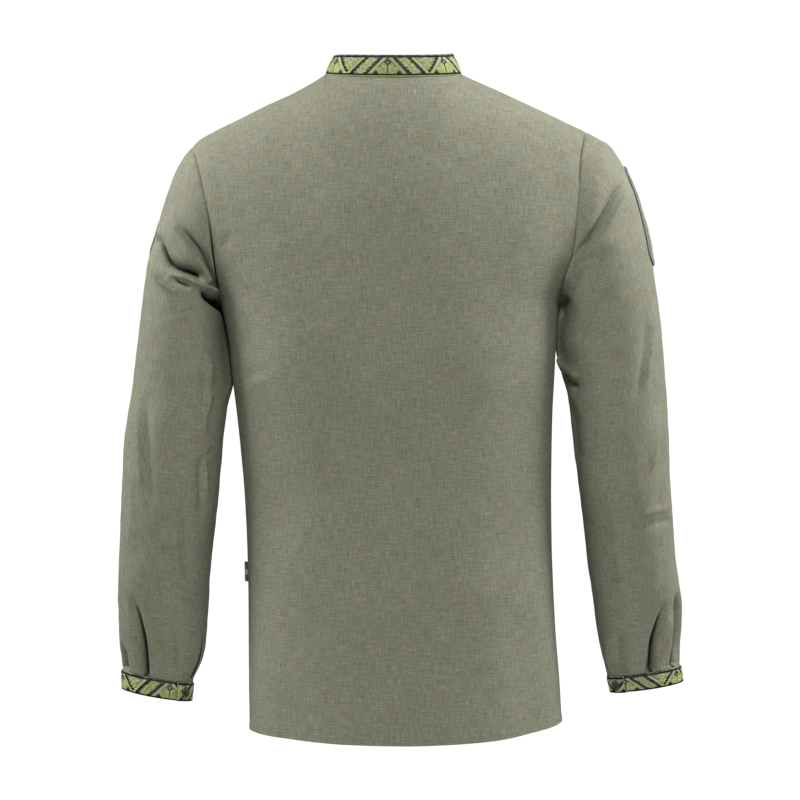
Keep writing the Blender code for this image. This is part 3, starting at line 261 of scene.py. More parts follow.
# Creases as seen from behind, in steps of the photograph
CREASES = {
    # height, width, lean of the width to the right of the line, fade at both ends, then the
    # places x, y that the line runs through
    "sleeve_left": (
        (4.5, 7.0, 0.4, 0.3, 0.05, 169, 212, 175, 232, 188, 248, 200, 262, 212, 284),
        (-11.0, 4.4, -0.35, 0.4, 0.02, 171, 212, 181, 230, 195, 247, 206, 260, 214, 274, 219, 292),
        (-15.0, 4.6, -0.3, 0.25, 0.1, 153, 230, 157, 248, 164, 262, 176, 269, 190, 274, 206, 280),
        (8.0, 2.8, 0.3, 0.3, 0.1, 170, 272, 182, 276, 194, 281, 206, 287, 221, 291),
        (7.0, 3.4, 0.4, 0.5, 0.4, 151, 250, 154, 264, 160, 277, 169, 288, 180, 297),
        (-6.0, 3.4, 0.0, 0.3, 0.3, 168, 277, 180, 283, 194, 288),
        (-15.0, 4.8, 0.2, 0.45, 0.0, 199, 288, 210, 297, 224, 306),
        (3.0, 4.2, 0.3, 0.3, 0.3, 206, 348, 211, 372, 208, 396, 212, 420),
        (-3.6, 4.2, 0.0, 0.3, 0.3, 201, 368, 205, 392, 203, 418),
        (3.0, 3.4, 0.0, 0.3, 0.3, 214, 388, 206, 412, 204, 440),
        (2.7, 3.0, 0.3, 0.2, 0.2, 213, 440, 205, 458, 207, 480, 206, 508),
        (-3.9, 4.2, 0.0, 0.2, 0.2, 209, 446, 201, 470, 202, 500, 199, 520),
        (3.9, 6.0, 0.3, 0.3, 0.3, 136, 372, 139, 410, 140, 455, 146, 520),
        (-3.3, 6.0, 0.0, 0.3, 0.3, 146, 380, 147, 420, 148, 470, 152, 520),
        (2.4, 5.1, 0.0, 0.3, 0.3, 129, 450, 132, 500, 128, 560),
        (-2.4, 6.8, 0.0, 0.3, 0.3, 186, 470, 184, 530, 190, 590),
        (2.4, 5.1, 0.0, 0.3, 0.3, 176, 520, 178, 570, 183, 610),
        (-22.0, 3.2, -0.3, 0.5, 0.0, 129, 592, 137, 622, 142, 646, 145, 684),
        (4.8, 3.2, -0.4, 0.45, 0.0, 123, 592, 130, 624, 136, 652, 140, 682),
        (3.3, 6.8, 0.5, 0.45, 0.0, 138, 600, 146, 630, 149, 655, 152, 684),
        (-7.5, 3.4, 0.0, 0.4, 0.0, 120, 640, 123, 656, 125, 680),
        (2.4, 6.0, 0.0, 0.4, 0.2, 160, 610, 166, 645, 170, 676),
        (-2.7, 5.1, 0.0, 0.4, 0.2, 174, 618, 178, 650, 182, 680),
        (1.8, 2.5, 0.0, 0.3, 0.3, 166, 676, 178, 674, 190, 672),
    ),
    "sleeve_left_tuck": (
        (17.0, 15.0, 0.0, 0.3, 0.3, 220, 284, 224, 325, 229, 355, 232, 384, 231, 410),
    ),
    "sleeve_right": (
        (6.0, 8.0, -0.6, 0.15, 0.05, 631, 184, 621, 200, 608, 224, 593, 246, 576, 266, 566, 284, 561, 300),
        (-7.5, 3.0, 0.4, 0.15, 0.0, 626, 182, 616, 194, 602, 219, 588, 240, 573, 256, 563, 272, 558, 290),
        (-7.0, 11.0, 0.0, 0.35, 0.0, 612, 244, 592, 256, 575, 274, 562, 300, 558, 312),
        (4.2, 9.3, 0.0, 0.3, 0.2, 628, 226, 602, 250, 580, 286, 570, 320),
        (-3.9, 10.2, 0.0, 0.3, 0.2, 618, 290, 594, 310, 574, 345),
        (-5.4, 5.1, 0.0, 0.15, 0.3, 560, 371, 567, 380, 580, 392),
        (4.5, 5.1, 0.3, 0.15, 0.35, 556, 356, 566, 368, 582, 380),
        (-3.9, 6.8, 0.0, 0.3, 0.3, 571, 396, 574, 430, 578, 470),
        (2.7, 4.2, 0.0, 0.3, 0.3, 655, 300, 651, 350, 645, 398),
        (2.4, 3.4, 0.2, 0.3, 0.3, 660, 410, 656, 445, 651, 478),
        (-2.7, 5.1, 0.0, 0.3, 0.3, 648, 300, 644, 350, 636, 410),
        (-2.4, 4.2, 0.0, 0.3, 0.3, 664, 430, 661, 480, 658, 540),
        (1.8, 2.5, 0.0, 0.3, 0.2, 640, 516, 660, 510, 672, 508),
        (-2.0, 2.5, 0.0, 0.3, 0.2, 642, 528, 658, 523, 674, 521),
        (2.2, 6.0, 0.0, 0.3, 0.3, 612, 500, 618, 560, 628, 620),
        (-2.7, 6.8, 0.0, 0.3, 0.3, 634, 480, 636, 540, 640, 600),
        (-22.0, 3.2, 0.3, 0.5, 0.0, 668, 598, 660, 624, 654, 646, 651, 684),
        (5.4, 3.4, 0.4, 0.45, 0.0, 674, 604, 667, 632, 661, 654, 657, 684),
        (3.0, 6.8, -0.5, 0.45, 0.0, 660, 602, 651, 632, 646, 656, 642, 686),
        (-16.0, 2.6, 0.0, 0.3, 0.0, 678, 590, 680, 618, 678, 642, 674, 668),
        (2.4, 6.0, 0.0, 0.4, 0.2, 628, 616, 630, 650, 632, 680),
        (-2.4, 5.1, 0.0, 0.4, 0.2, 616, 620, 618, 650, 620, 682),
        (2.1, 4.2, 0.0, 0.4, 0.2, 604, 630, 607, 655, 609, 680),
    ),
    "sleeve_right_tuck": (
        (17.0, 16.0, 0.0, 0.3, 0.3, 557, 280, 556, 315, 556, 338, 560, 362, 570, 400),
    ),
    "back": (
        (-1.6, 5.0, 0.0, 0.4, 0.1, 232, 232, 226, 240, 219, 250),
        (-1.0, 4.0, 0.0, 0.3, 0.4, 214, 170, 221, 186, 226, 204),
        (-2.5, 26.0, 0.0, 0.3, 0.3, 262, 364, 281, 470, 297, 566),
        (-2.5, 26.0, 0.0, 0.3, 0.3, 525, 364, 517, 470, 499, 600),
        (-3.0, 42.0, 0.0, 0.3, 0.3, 376, 180, 386, 285, 399, 410),
        (1.6, 24.0, 0.0, 0.3, 0.3, 446, 250, 452, 330, 470, 420),
        (1.4, 26.0, 0.0, 0.3, 0.3, 330, 260, 336, 360, 346, 440),
        (-1.6, 20.0, 0.0, 0.4, 0.0, 524, 600, 530, 680, 532, 745),
        (1.8, 16.0, 0.0, 0.4, 0.0, 545, 560, 548, 650, 550, 740),
        (1.6, 18.0, 0.0, 0.4, 0.0, 270, 620, 268, 690, 268, 745),
        (-1.4, 20.0, 0.0, 0.4, 0.0, 292, 600, 294, 680, 296, 748),
        (1.0, 30.0, 0.0, 0.4, 0.0, 420, 560, 424, 660, 428, 752),
        (-0.8, 4.0, 0.0, 0.3, 0.3, 462, 236, 468, 250, 474, 266),
        (-0.9, 6.0, 0.0, 0.3, 0.3, 230, 380, 252, 374, 276, 366),
        (0.8, 6.0, 0.0, 0.3, 0.3, 232, 392, 256, 384, 284, 372),
    ),
}
# The same for the front halves of the pieces, which the photograph doesn't show
FRONT_CREASES = {
    "sleeve_left": (
        (-6.8, 8.5, 0.0, 0.3, 0.05, 186, 214, 198, 250, 213, 286),
        (5.4, 6.8, 0.2, 0.3, 0.05, 176, 226, 190, 262, 212, 296),
        (-6.8, 7.6, 0.0, 0.25, 0.05, 158, 276, 182, 298, 212, 309),
        (4.5, 6.8, 0.0, 0.25, 0.2, 160, 290, 184, 312, 208, 324),
        (-5.2, 9.3, 0.0, 0.3, 0.15, 158, 416, 182, 442, 204, 456),
        (3.6, 7.6, 0.0, 0.3, 0.15, 152, 432, 178, 460, 204, 474),
        (2.7, 7.6, 0.0, 0.3, 0.3, 140, 480, 146, 540, 150, 600),
        (-6.0, 4.2, 0.3, 0.4, 0.0, 138, 594, 150, 636, 157, 676),
        (-5.2, 4.2, -0.3, 0.4, 0.0, 166, 604, 171, 640, 174, 680),
    ),
    "sleeve_right": (
        (-6.8, 8.5, 0.0, 0.3, 0.05, 600, 206, 587, 242, 570, 280),
        (5.4, 6.8, 0.2, 0.3, 0.05, 612, 220, 596, 258, 572, 294),
        (-6.8, 8.5, 0.0, 0.25, 0.05, 636, 284, 608, 302, 573, 312),
        (4.5, 6.8, 0.0, 0.25, 0.2, 634, 300, 606, 318, 578, 328),
        (-5.2, 9.3, 0.0, 0.3, 0.15, 643, 424, 618, 452, 592, 466),
        (3.6, 7.6, 0.0, 0.3, 0.15, 648, 440, 620, 470, 594, 484),
        (2.7, 7.6, 0.0, 0.3, 0.3, 650, 480, 646, 540, 644, 600),
        (-6.0, 4.2, -0.3, 0.4, 0.0, 662, 594, 650, 636, 643, 676),
        (-5.2, 4.2, 0.3, 0.4, 0.0, 636, 606, 633, 640, 631, 680),
    ),
    "front": (
        (-3.0, 26.0, 0.0, 0.3, 0.3, 279, 337, 291, 451, 314, 566),
        (-3.0, 26.0, 0.0, 0.3, 0.3, 513, 337, 502, 451, 478, 583),
        (2.0, 18.0, 0.0, 0.3, 0.1, 330, 430, 336, 560, 350, 740),
        (2.0, 18.0, 0.0, 0.3, 0.1, 466, 430, 458, 560, 446, 740),
        (-1.6, 16.0, 0.0, 0.3, 0.1, 262, 560, 266, 650, 276, 742),
        (-1.6, 16.0, 0.0, 0.3, 0.1, 534, 560, 530, 650, 520, 742),
        (-1.5, 9.0, 0.0, 0.2, 0.4, 240, 226, 262, 240, 296, 246),
        (-1.5, 9.0, 0.0, 0.2, 0.4, 556, 220, 534, 238, 500, 246),
    ),
}


# Smooth reading of the tables
def through(table_x, table_y, x):
    """Smooth curve through a table that never swings past its points."""
    xs = np.asarray(table_x, float)
    ys = np.asarray(table_y, float)
    if xs[0] > xs[-1]:
        xs, ys = xs[::-1], ys[::-1]
    step = np.diff(xs)
    slope = np.diff(ys) / step
    tangent = np.zeros_like(ys)
    w1, w2 = 2 * step[1:] + step[:-1], step[1:] + 2 * step[:-1]
    same = slope[:-1] * slope[1:] > 0
    safe = np.where(same, slope[:-1] * slope[1:], 1.0)
    mean = (w1 + w2) * safe / np.where(same, w1 * slope[1:] + w2 * slope[:-1], 1.0)
    tangent[1:-1] = np.where(same, mean, 0.0)
    tangent[0], tangent[-1] = slope[0], slope[-1]
    x = np.clip(np.asarray(x, float), xs[0], xs[-1])
    i = np.clip(np.searchsorted(xs, x, side="right") - 1, 0, len(xs) - 2)
    t = (x - xs[i]) / step[i]
    a, b = ys[i], ys[i + 1]
    return (
        a * (1 + 2 * t) * (1 - t) ** 2
        + tangent[i] * step[i] * t * (1 - t) ** 2
        + b * t * t * (3 - 2 * t)
        + tangent[i + 1] * step[i] * t * t * (t - 1)
    )


def read(table, x, column=1, key=0):
    return through([row[key] for row in table], [row[column] for row in table], x)


def at_place(x, places, values):
    """Points read along a line whose points lie at the places given."""
    return np.stack([np.interp(x, places, row) for row in np.asarray(values).T], axis=-1)


def ease(t):
    t = np.clip(t, 0.0, 1.0)
    return t * t * (3 - 2 * t)


def nearest(values, target):
    """Number of the value nearest a target."""
    return int(np.argmin(np.abs(values - target)))


def unit(vector):
    return vector / np.maximum(np.linalg.norm(vector, axis=-1, keepdims=True), 1e-9)


def depth_scale(points):
    """A point nearer the front is set further from the view's axis, so its outline still fits."""
    out = np.array(points, float)
    grow = (VIEW_DISTANCE - out[..., 1]) / VIEW_DISTANCE
    out[..., 0] = VIEW_X + (out[..., 0] - VIEW_X) * grow
    out[..., 2] = VIEW_Z + (out[..., 2] - VIEW_Z) * grow
    return out


def seen(points):
    """Where points show in the view from behind, in steps of the photograph."""
    grow = VIEW_DISTANCE / (VIEW_DISTANCE - points[..., 1])
    x = VIEW_X + (points[..., 0] - VIEW_X) * grow
    z = VIEW_Z + (points[..., 2] - VIEW_Z) * grow
    return np.stack([STEP_X - x / STEP, STEP_Y - z / STEP], axis=-1)


# Torso surface
def lower_point(q, share, face):
    """Points of the torso below the underarm, q from -1 on the wearer's right to 1 on the left."""
    q, share = np.broadcast_arrays(np.asarray(q, float), np.asarray(share, float))
    rows = np.linspace(0, 1, len(TORSO))
    z, left, right, back, front = (through(rows, [r[i] for r in TORSO], share) for i in range(5))
    depth, power, hem = (back, BACK_POWER, BACK_HEM) if face > 0 else (-front, FRONT_POWER, FRONT_HEM)
    x = (left + right) / 2 + (left - right) / 2 * q
    y = depth * np.maximum(0, 1 - np.abs(q) ** power) ** (1 / power)
    drop = read(hem, q) - TORSO[0][0]
    return np.stack([x, y, z + drop * (1 - share) ** 2], axis=-1)


def tip(q):
    return np.where(q >= 0, SHOULDER_LEFT[-1][0], SHOULDER_RIGHT[-1][0])


def top_point(q, face):
    """Points of the shoulder seam or the neckline above columns q."""
    q = np.asarray(q, float)
    side = np.where(q >= 0, 1.0, -1.0)
    x = np.abs(q) * tip(q)
    seam_z = np.where(q >= 0, read(SHOULDER_LEFT, x), read(SHOULDER_RIGHT, x))
    deep = np.sqrt(np.clip(1 - (x / NECK_HALF) ** 2, 0, 1))
    start = SHOULDER_LEFT[0][1]
    if face > 0:
        y, z = NECK_BACK_DEPTH * deep**0.9, start - NECK_BACK_DROP * deep
    else:
        y, z = -NECK_FRONT_DEPTH * deep, start - NECK_FRONT_DROP * deep**1.5
    on_seam = x >= NECK_HALF - 1e-9
    return np.stack([side * x, np.where(on_seam, 0.0, y), np.where(on_seam, seam_z, z)], axis=-1)


def armhole(side, rise, face):
    """Armhole seam at shares of the way up, in the back half or the front half."""
    seam = ARMHOLE_LEFT if side > 0 else ARMHOLE_RIGHT
    z = seam[0][0] + (seam[-1][0] - seam[0][0]) * rise
    depth = ARMHOLE_BACK if face > 0 else -ARMHOLE_FRONT
    y = 2 * depth * np.sqrt(np.maximum(0.0, rise * (1 - rise)))
    return np.stack([side * read(seam, z), y, z], axis=-1)


def upper_point(q, rise, face):
    """Points of the torso above the underarm."""
    q, rise = np.broadcast_arrays(np.asarray(q, float), np.asarray(rise, float))
    base, top = lower_point(q, 1.0, face), top_point(q, face)
    left = q >= 0
    edge = np.where(left[..., None], armhole(1, rise, face), armhole(-1, rise, face))
    back_form, front_form = (TORSO[-1][3], BACK_POWER, BACK_ROUND), (TORSO[-1][4], FRONT_POWER, FRONT_ROUND)
    depth, power, bend = back_form if face > 0 else front_form
    x_ridge = np.abs(q) * tip(q)
    ridges = (read(NECK_RIDGE + shoulder, x_ridge) for shoulder in (SHOULDER_LEFT, SHOULDER_RIGHT))
    ridge = np.where(left, *ridges)
    z = base[..., 2] + (top[..., 2] - base[..., 2]) * rise
    share = (z - base[..., 2]) / (ridge - base[..., 2])
    widest = depth * np.sqrt(np.maximum(0.0, 1 - np.minimum(1.0, share) ** bend))
    at_edge = depth * np.sqrt(np.maximum(0.0, 1 - rise**bend))
    reach = np.where(at_edge > 1e-6, np.minimum(0.97, np.abs(edge[..., 1]) / np.maximum(at_edge, 1e-6)), 0.0)
    keep = (1 - reach**power) ** (1 / power)
    y = widest * (1 - (keep * np.abs(q)) ** power) ** (1 / power)
    share_top = (top[..., 2] - base[..., 2]) / (ridge - base[..., 2])
    y_top = depth * np.sqrt(np.maximum(0.0, 1 - np.minimum(1.0, share_top) ** bend))
    in_neck = np.abs(q) < NECK_HALF / tip(q)
    corner = 1 - np.sqrt(np.clip(1 - (x_ridge / NECK_HALF) ** 2, 0, 1))
    y = y + np.where(in_neck, (np.abs(top[..., 1]) - y_top) * rise ** (5 + 70 * corner**2), 0.0)
    x = (1 - rise) * base[..., 0] + rise * top[..., 0]
    ends = np.where(left, 1.0, -1.0)
    straight = (1 - rise) * lower_point(ends, 1.0, face)[..., 0] + rise * top_point(ends, face)[..., 0]
    x = x + (edge[..., 0] - straight) * np.abs(q) ** 5
    return np.stack([x, face * y, z], axis=-1)


# Sleeve surface
def sleeve_line(side, ring):
    """Outer and inner points, y, half depth and power of the section at shares of the sleeve."""
    rows = np.linspace(0, 1, len(RINGS_LEFT))
    outer_z, inner_z, y, depth, power = (through(rows, [r[i] for r in RINGS_LEFT], ring) for i in range(5))
    if side < 0:
        lower = ease((ring - 0.5) / 0.5)
        outer_z = outer_z + RIGHT_TOP_RAISE * (1 - ease(ring / 0.5)) + RIGHT_CUFF_RAISE * lower
        inner_z = inner_z + RIGHT_CUFF_RAISE_INNER * lower
    outer, inner = (LEFT_OUTER, LEFT_INNER) if side > 0 else (RIGHT_OUTER, RIGHT_INNER)
    return side * read(outer, outer_z), outer_z, side * read(inner, inner_z), inner_z, y, depth, power


def sleeve_point(side, ring, angle):
    """Points of a sleeve. The angle starts on the outer line and goes round over the back."""
    ring, angle = np.broadcast_arrays(np.asarray(ring, float), np.asarray(angle, float))
    ox, oz, ix, iz, y, depth, power = sleeve_line(side, ring)
    c, s = np.cos(angle), np.sin(angle)
    across = np.sign(c) * np.abs(c) ** (2 / power)
    deep = np.sign(s) * np.abs(s) ** (2 / power)
    middle_x, half_x, middle_z, half_z = (ox + ix) / 2, (ox - ix) / 2, (oz + iz) / 2, (oz - iz) / 2
    point = np.stack([middle_x + half_x * across, y + depth * deep, middle_z + half_z * across], axis=-1)
    share = (1 - ease(ring / 0.2))[..., None]
    rise = (1 + c) / 2
    seam = np.where((s >= 0)[..., None], armhole(side, rise, 1), armhole(side, rise, -1))
    start = sleeve_line(side, 0.0)
    straight = (start[0] + start[2]) / 2 + (start[0] - start[2]) / 2 * c
    line_x = middle_x + half_x * c + seam[..., 0] - straight
    line = np.stack([line_x, seam[..., 1], middle_z + half_z * c], axis=-1)
    return point * (1 - share) + line * share


# Grids, normals, creases
def grid_normals(points, wrap, turn):
    """Outward directions of a grid. The turn is 1 where its columns run to the right from outside."""
    down = np.gradient(points, axis=0)
    if wrap:
        across = (np.roll(points, -1, axis=1) - np.roll(points, 1, axis=1)) / 2
    else:
        across = np.gradient(points, axis=1)
    return turn * unit(np.cross(down, across))


def crease_height(points, table, piece):
    """How far the creases of a piece lift or sink its points."""
    flat = seen(points)
    height = np.zeros(flat.shape[:-1])
    for size, width, lean, fade_in, fade_out, *line in table[piece]:
        line = np.array(line, float).reshape(-1, 2)
        knots = np.concatenate([[0], np.cumsum(np.linalg.norm(np.diff(line, axis=0), axis=1))])
        knots /= knots[-1]
        t = np.linspace(0, 1, 25)
        curve = np.stack([through(knots, line[:, 0], t), through(knots, line[:, 1], t)], axis=-1)
        low, high = curve.min(0) - 3 * width, curve.max(0) + 3 * width
        near = ((flat > low) & (flat < high)).all(-1)
        p = flat[near]
        best = np.full(len(p), 1e9)
        place = np.zeros(len(p))
        hand = np.zeros(len(p))
        for k in range(len(t) - 1):
            d = curve[k + 1] - curve[k]
            s = np.clip(((p - curve[k]) @ d) / (d @ d), 0, 1)
            off = p - curve[k] - s[:, None] * d
            gap = np.linalg.norm(off, axis=1)
            closer = gap < best
            best = np.where(closer, gap, best)
            place = np.where(closer, (k + s) / (len(t) - 1), place)
            hand = np.where(closer, np.sign(d[0] * off[:, 1] - d[1] * off[:, 0]), hand)
        wide = width * (1 + lean * hand) / STEP
        fade = ease(place / fade_in) if fade_in else 1.0
        fade = fade * (ease((1 - place) / fade_out) if fade_out else 1.0)
        sharp = SHARP if width < 12 else 2.0
        height[near] += size * fade * np.exp(-((best / wide) ** sharp))
    return height


def ripples(points, size, short, long, seed, stretch=(1.0, 1.0, 1.0)):
    """Small uneven waves in a cloth, as many plane waves in different directions."""
    waves = np.random.default_rng(seed)
    total = np.zeros(points.shape[:-1])
    for _ in range(WAVES):
        way = unit(waves.normal(size=3) * np.array(stretch))
        length = short * (long / short) ** waves.random()
        total += np.sin(points @ way * 2 * math.pi / length + waves.random() * 7) * (length / long) ** 0.8
    return size * total / 3.0


def half_columns(count_shoulder, count_neck, power=2.5):
    """Column places from the wearer's left to right, even along the ring on each shoulder."""
    places = []
    for side in (1, -1):
        q = np.linspace(NECK_HALF / float(tip(side)), 1.0, 900)
        y = np.maximum(0, 1 - q**power) ** (1 / power) * 0.66
        length = np.concatenate([[0], np.cumsum(np.hypot(np.diff(q), np.diff(y)))])
        places.append(side * np.interp(np.linspace(0, length[-1], count_shoulder + 1), length, q))
    left, right = places
    turn = np.sin(np.linspace(math.pi / 2, 0, count_neck // 2 + 1))[1:-1]
    return np.concatenate([left[::-1], turn * left[0], [0.0], turn[::-1] * right[0], right])


def neck_columns(columns, rise):
    """Places of the columns in rows at a rise. They bunch up at the neck corners in the top rows alone."""
    even = columns.copy()
    for side in (1, -1):
        inside = np.flatnonzero((columns * side > 0) & (columns * side < NECK_HALF / tip(side) - 1e-6))
        places = side * NECK_HALF / tip(side) * np.arange(1, len(inside) + 1) / (len(inside) + 1)
        even[inside] = places[::-1] if side > 0 else places
    return columns + (even - columns) * (1 - np.asarray(rise) ** 12)


def mend_corners(normals, columns):
    """Directions beside the neck corners, read from those on both sides of each corner."""
    out = normals.copy()
    for side in (1, -1):
        corner = nearest(columns, side * NECK_HALF / tip(side))
        low, high = (corner - 2, corner + 4) if side > 0 else (corner - 4, corner + 2)
        share = np.linspace(0, 1, high - low + 1)[None, :, None]
        mean = normals[:, low : low + 1] * (1 - share) + normals[:, high : high + 1] * share
        out[:, low : high + 1] = unit(mean)
    return out


def lengths(points, axis, start):
    """Distance along the rows or columns of a grid from its start index."""
    step = np.linalg.norm(np.diff(points, axis=axis), axis=-1)
    pad = [(0, 0), (0, 0)]
    pad[axis] = (1, 0)
    total = np.cumsum(np.pad(step, pad), axis=axis)
    return total - np.take(total, [start], axis=axis)


def flat_map(points, level, middle):
    """Cloth coordinates of a hanging panel, straight across at one row and straight down the middle."""
    across = lengths(points * (1, 1, 0), 1, middle)
    return np.stack([across, -lengths(points, 0, level)], axis=-1)


def seam_dip(distance, depth, width):
    return -depth * np.exp(-((distance / width) ** 2))


def seam_share(side, z):
    """How deep the armhole seam lies at a height. The wearer's right one is pressed flat lower down."""
    if side > 0:
        return 0.05 + 0.95 * ease((-86.0 - z) / 12.0)
    return (0.2 + 0.8 * ease((-67.5 - z) / 7.0)) * (1 - 0.75 * ease((-118.0 - z) / 20.0))


# Meshes
def linked(name, data):
    """An object of the scene."""
    obj = bpy.data.objects.new(name, data)
    bpy.context.scene.collection.objects.link(obj)
    return obj


def face_outward(mesh):
    bm = bmesh.new()
    bm.from_mesh(mesh)
    bmesh.ops.recalc_face_normals(bm, faces=bm.faces)
    bm.to_mesh(mesh)
    bm.free()


def grid_faces(rows, columns, wrap, turn, skip=None):
    """Quads of a grid by corner number, and the same by place in its map, which has no wrap."""
    i, j = np.meshgrid(np.arange(rows - 1), np.arange(columns if wrap else columns - 1), indexing="ij")
    i, j = i.ravel(), j.ravel()
    if skip is not None:
        i, j = i[j != skip], j[j != skip]
    k = (j + 1) % columns
    wide = columns + 1 if wrap else columns
    quads = np.stack([i * columns + j, (i + 1) * columns + j, (i + 1) * columns + k, i * columns + k], 1)
    maps = np.stack([i * wide + j, (i + 1) * wide + j, (i + 1) * wide + j + 1, i * wide + j + 1], 1)
    return (quads, maps) if turn > 0 else (quads[:, ::-1], maps[:, ::-1])


def shell(name, outer, inner, weave, quads, maps, look, depth=None):
    """Closed cloth from an outer skin, an inner skin, and the quads between their corners."""
    outer, inner, weave = outer.reshape(-1, 3), inner.reshape(-1, 3), weave.reshape(-1, 2)
    count = outer.shape[0]
    a, b = quads.ravel(), np.roll(quads, -1, axis=1).ravel()
    at = maps.ravel(), np.roll(maps, -1, axis=1).ravel()
    rim = ~np.isin(a * count + b, b * count + a)
    a, b, at_a, at_b = a[rim], b[rim], at[0][rim], at[1][rim]
    faces = np.vstack([quads, quads[:, ::-1] + count, np.stack([b, a, a + count, b + count], 1)])
    places = np.vstack([maps, maps[:, ::-1], np.stack([at_b, at_a, at_a, at_b], 1)])
    used = np.unique(faces)
    number = np.zeros(2 * count, int)
    number[used] = np.arange(len(used))
    mesh = bpy.data.meshes.new(name)
    mesh.from_pydata((np.vstack([outer, inner])[used] * MM).tolist(), [], number[faces].tolist())
    layer = mesh.uv_layers.new(name="weave")
    layer.data.foreach_set("uv", (weave[places.ravel()] * MM).astype(np.float32).ravel())
    mesh.shade_smooth()
    mesh.materials.append(look)
    # Painted shade: a share per point by which the material darkens the cloth in deep creases and tucks
    if depth is not None:
        layer = mesh.attributes.new("depth", "FLOAT", "POINT")
        layer.data.foreach_set("value", np.tile(depth.ravel(), 2)[used].astype(np.float32))
    obj = linked(name, mesh)
    mark_sharp(mesh, CLOTH_SHARP)
    return obj


def mark_sharp(mesh, angle):
    bm = bmesh.new()
    bm.from_mesh(mesh)
    for edge in bm.edges:
        if len(edge.link_faces) == 2 and edge.calc_face_angle(0.0) > angle:
            edge.smooth = False
    bm.to_mesh(mesh)
    bm.free()


def grid_shell(name, outer, inner, weave, look, turn=1):
    """Closed cloth from the grids of its two skins."""
    return shell(name, outer, inner, weave, *grid_faces(*outer.shape[:2], False, turn), look)


def thread_mesh(name, vertices, faces, look):
    """Rounded thread or cord of one look."""
    mesh = bpy.data.meshes.new(name)
    mesh.from_pydata((np.asarray(vertices) * MM).tolist(), [], faces)
    face_outward(mesh)
    mesh.shade_smooth()
    mesh.materials.append(look)
    return linked(name, mesh)


def finish_piece(obj, slot, *nodes):
    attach(obj, "root")
    if nodes:
        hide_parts(*nodes)
    return obj


# Materials
class Look:
    """A material built node by node."""

    def __init__(self, name):
        self.material = bpy.data.materials.new(name)
        self.material.use_nodes = True
        self.tree = self.material.node_tree
        self.shader = self.tree.nodes["Principled BSDF"]

    def put(self, socket, value):
        if isinstance(value, bpy.types.NodeSocket):
            self.tree.links.new(value, socket)
        else:
            socket.default_value = value

    def add(self, kind, inputs=(), **properties):
        node = self.tree.nodes.new(kind)
        for key, value in properties.items():
            setattr(node, key, value)
        for key, value in dict(inputs).items():
            self.put(node.inputs[key], value)
        return node

    def object_place(self):
        return self.add("ShaderNodeTexCoord").outputs["Object"]

    def cloth_place(self):
        return self.add("ShaderNodeUVMap", uv_map="weave").outputs[0]

    def math(self, operation, a, b=0.0, c=0.0):
        return self.add("ShaderNodeMath", {0: a, 1: b, 2: c}, operation=operation).outputs[0]

    def scaled(self, vector, scale, location=(0.0, 0.0, 0.0)):
        node = self.add("ShaderNodeMapping", {"Vector": vector, "Scale": scale, "Location": location})
        return node.outputs[0]

    def both(self, a, share_a, b, share_b):
        """The sum of two values, each by its share."""
        return self.math("ADD", self.math("MULTIPLY", a, share_a), self.math("MULTIPLY", b, share_b))

    def ranged(self, value, low, high, to_low, to_high):
        inputs = {"Value": value, "From Min": low, "From Max": high, "To Min": to_low, "To Max": to_high}
        return self.add("ShaderNodeMapRange", inputs).outputs[0]

    def noise(self, vector, scale, detail=2.0, rough=0.5):
        inputs = {"Vector": vector, "Scale": scale, "Detail": detail, "Roughness": rough}
        return self.add("ShaderNodeTexNoise", inputs).outputs[0]

    def ramp(self, value, stops):
        node = self.add("ShaderNodeValToRGB", {"Fac": value})
        ramp = node.color_ramp
        while len(ramp.elements) < len(stops):
            ramp.elements.new(0.5)
        for element, (place, colour) in zip(ramp.elements, stops):
            element.position = place
            element.color = (*colour, 1.0) if len(colour) == 3 else colour
        return node.outputs[0]

    def mix(self, share, a, b, blend="MIX"):
        node = self.add("ShaderNodeMix", {0: share}, data_type="RGBA", blend_type=blend)
        for key, value in ((6, a), (7, b)):
            if isinstance(value, tuple):
                value = (*value[:3], 1.0)
            self.put(node.inputs[key], value)
        return node.outputs[2]

    def bump(self, height, strength, distance, normal=None):
        inputs = {"Height": height, "Strength": strength, "Distance": distance}
        if normal is not None:
            inputs["Normal"] = normal
        return self.add("ShaderNodeBump", inputs).outputs[0]

    def surface(self, **values):
        for key, value in values.items():
            self.put(self.shader.inputs[key.replace("_", " ")], value)
        return self.material


def threads(look, where, pitch):
    """Height of a plain weave, threads going over and under in turn."""
    parts = look.add("ShaderNodeSeparateXYZ", {0: where}).outputs
    warp, weft = (look.math("SINE", look.math("MULTIPLY", parts[k], math.pi / pitch)) for k in (0, 1))
    over = look.math("MULTIPLY", warp, weft)
    high = look.math("MULTIPLY", look.math("ABSOLUTE", warp), look.math("ABSOLUTE", weft))
    return look.math("ADD", high, look.math("MULTIPLY", over, 0.35))


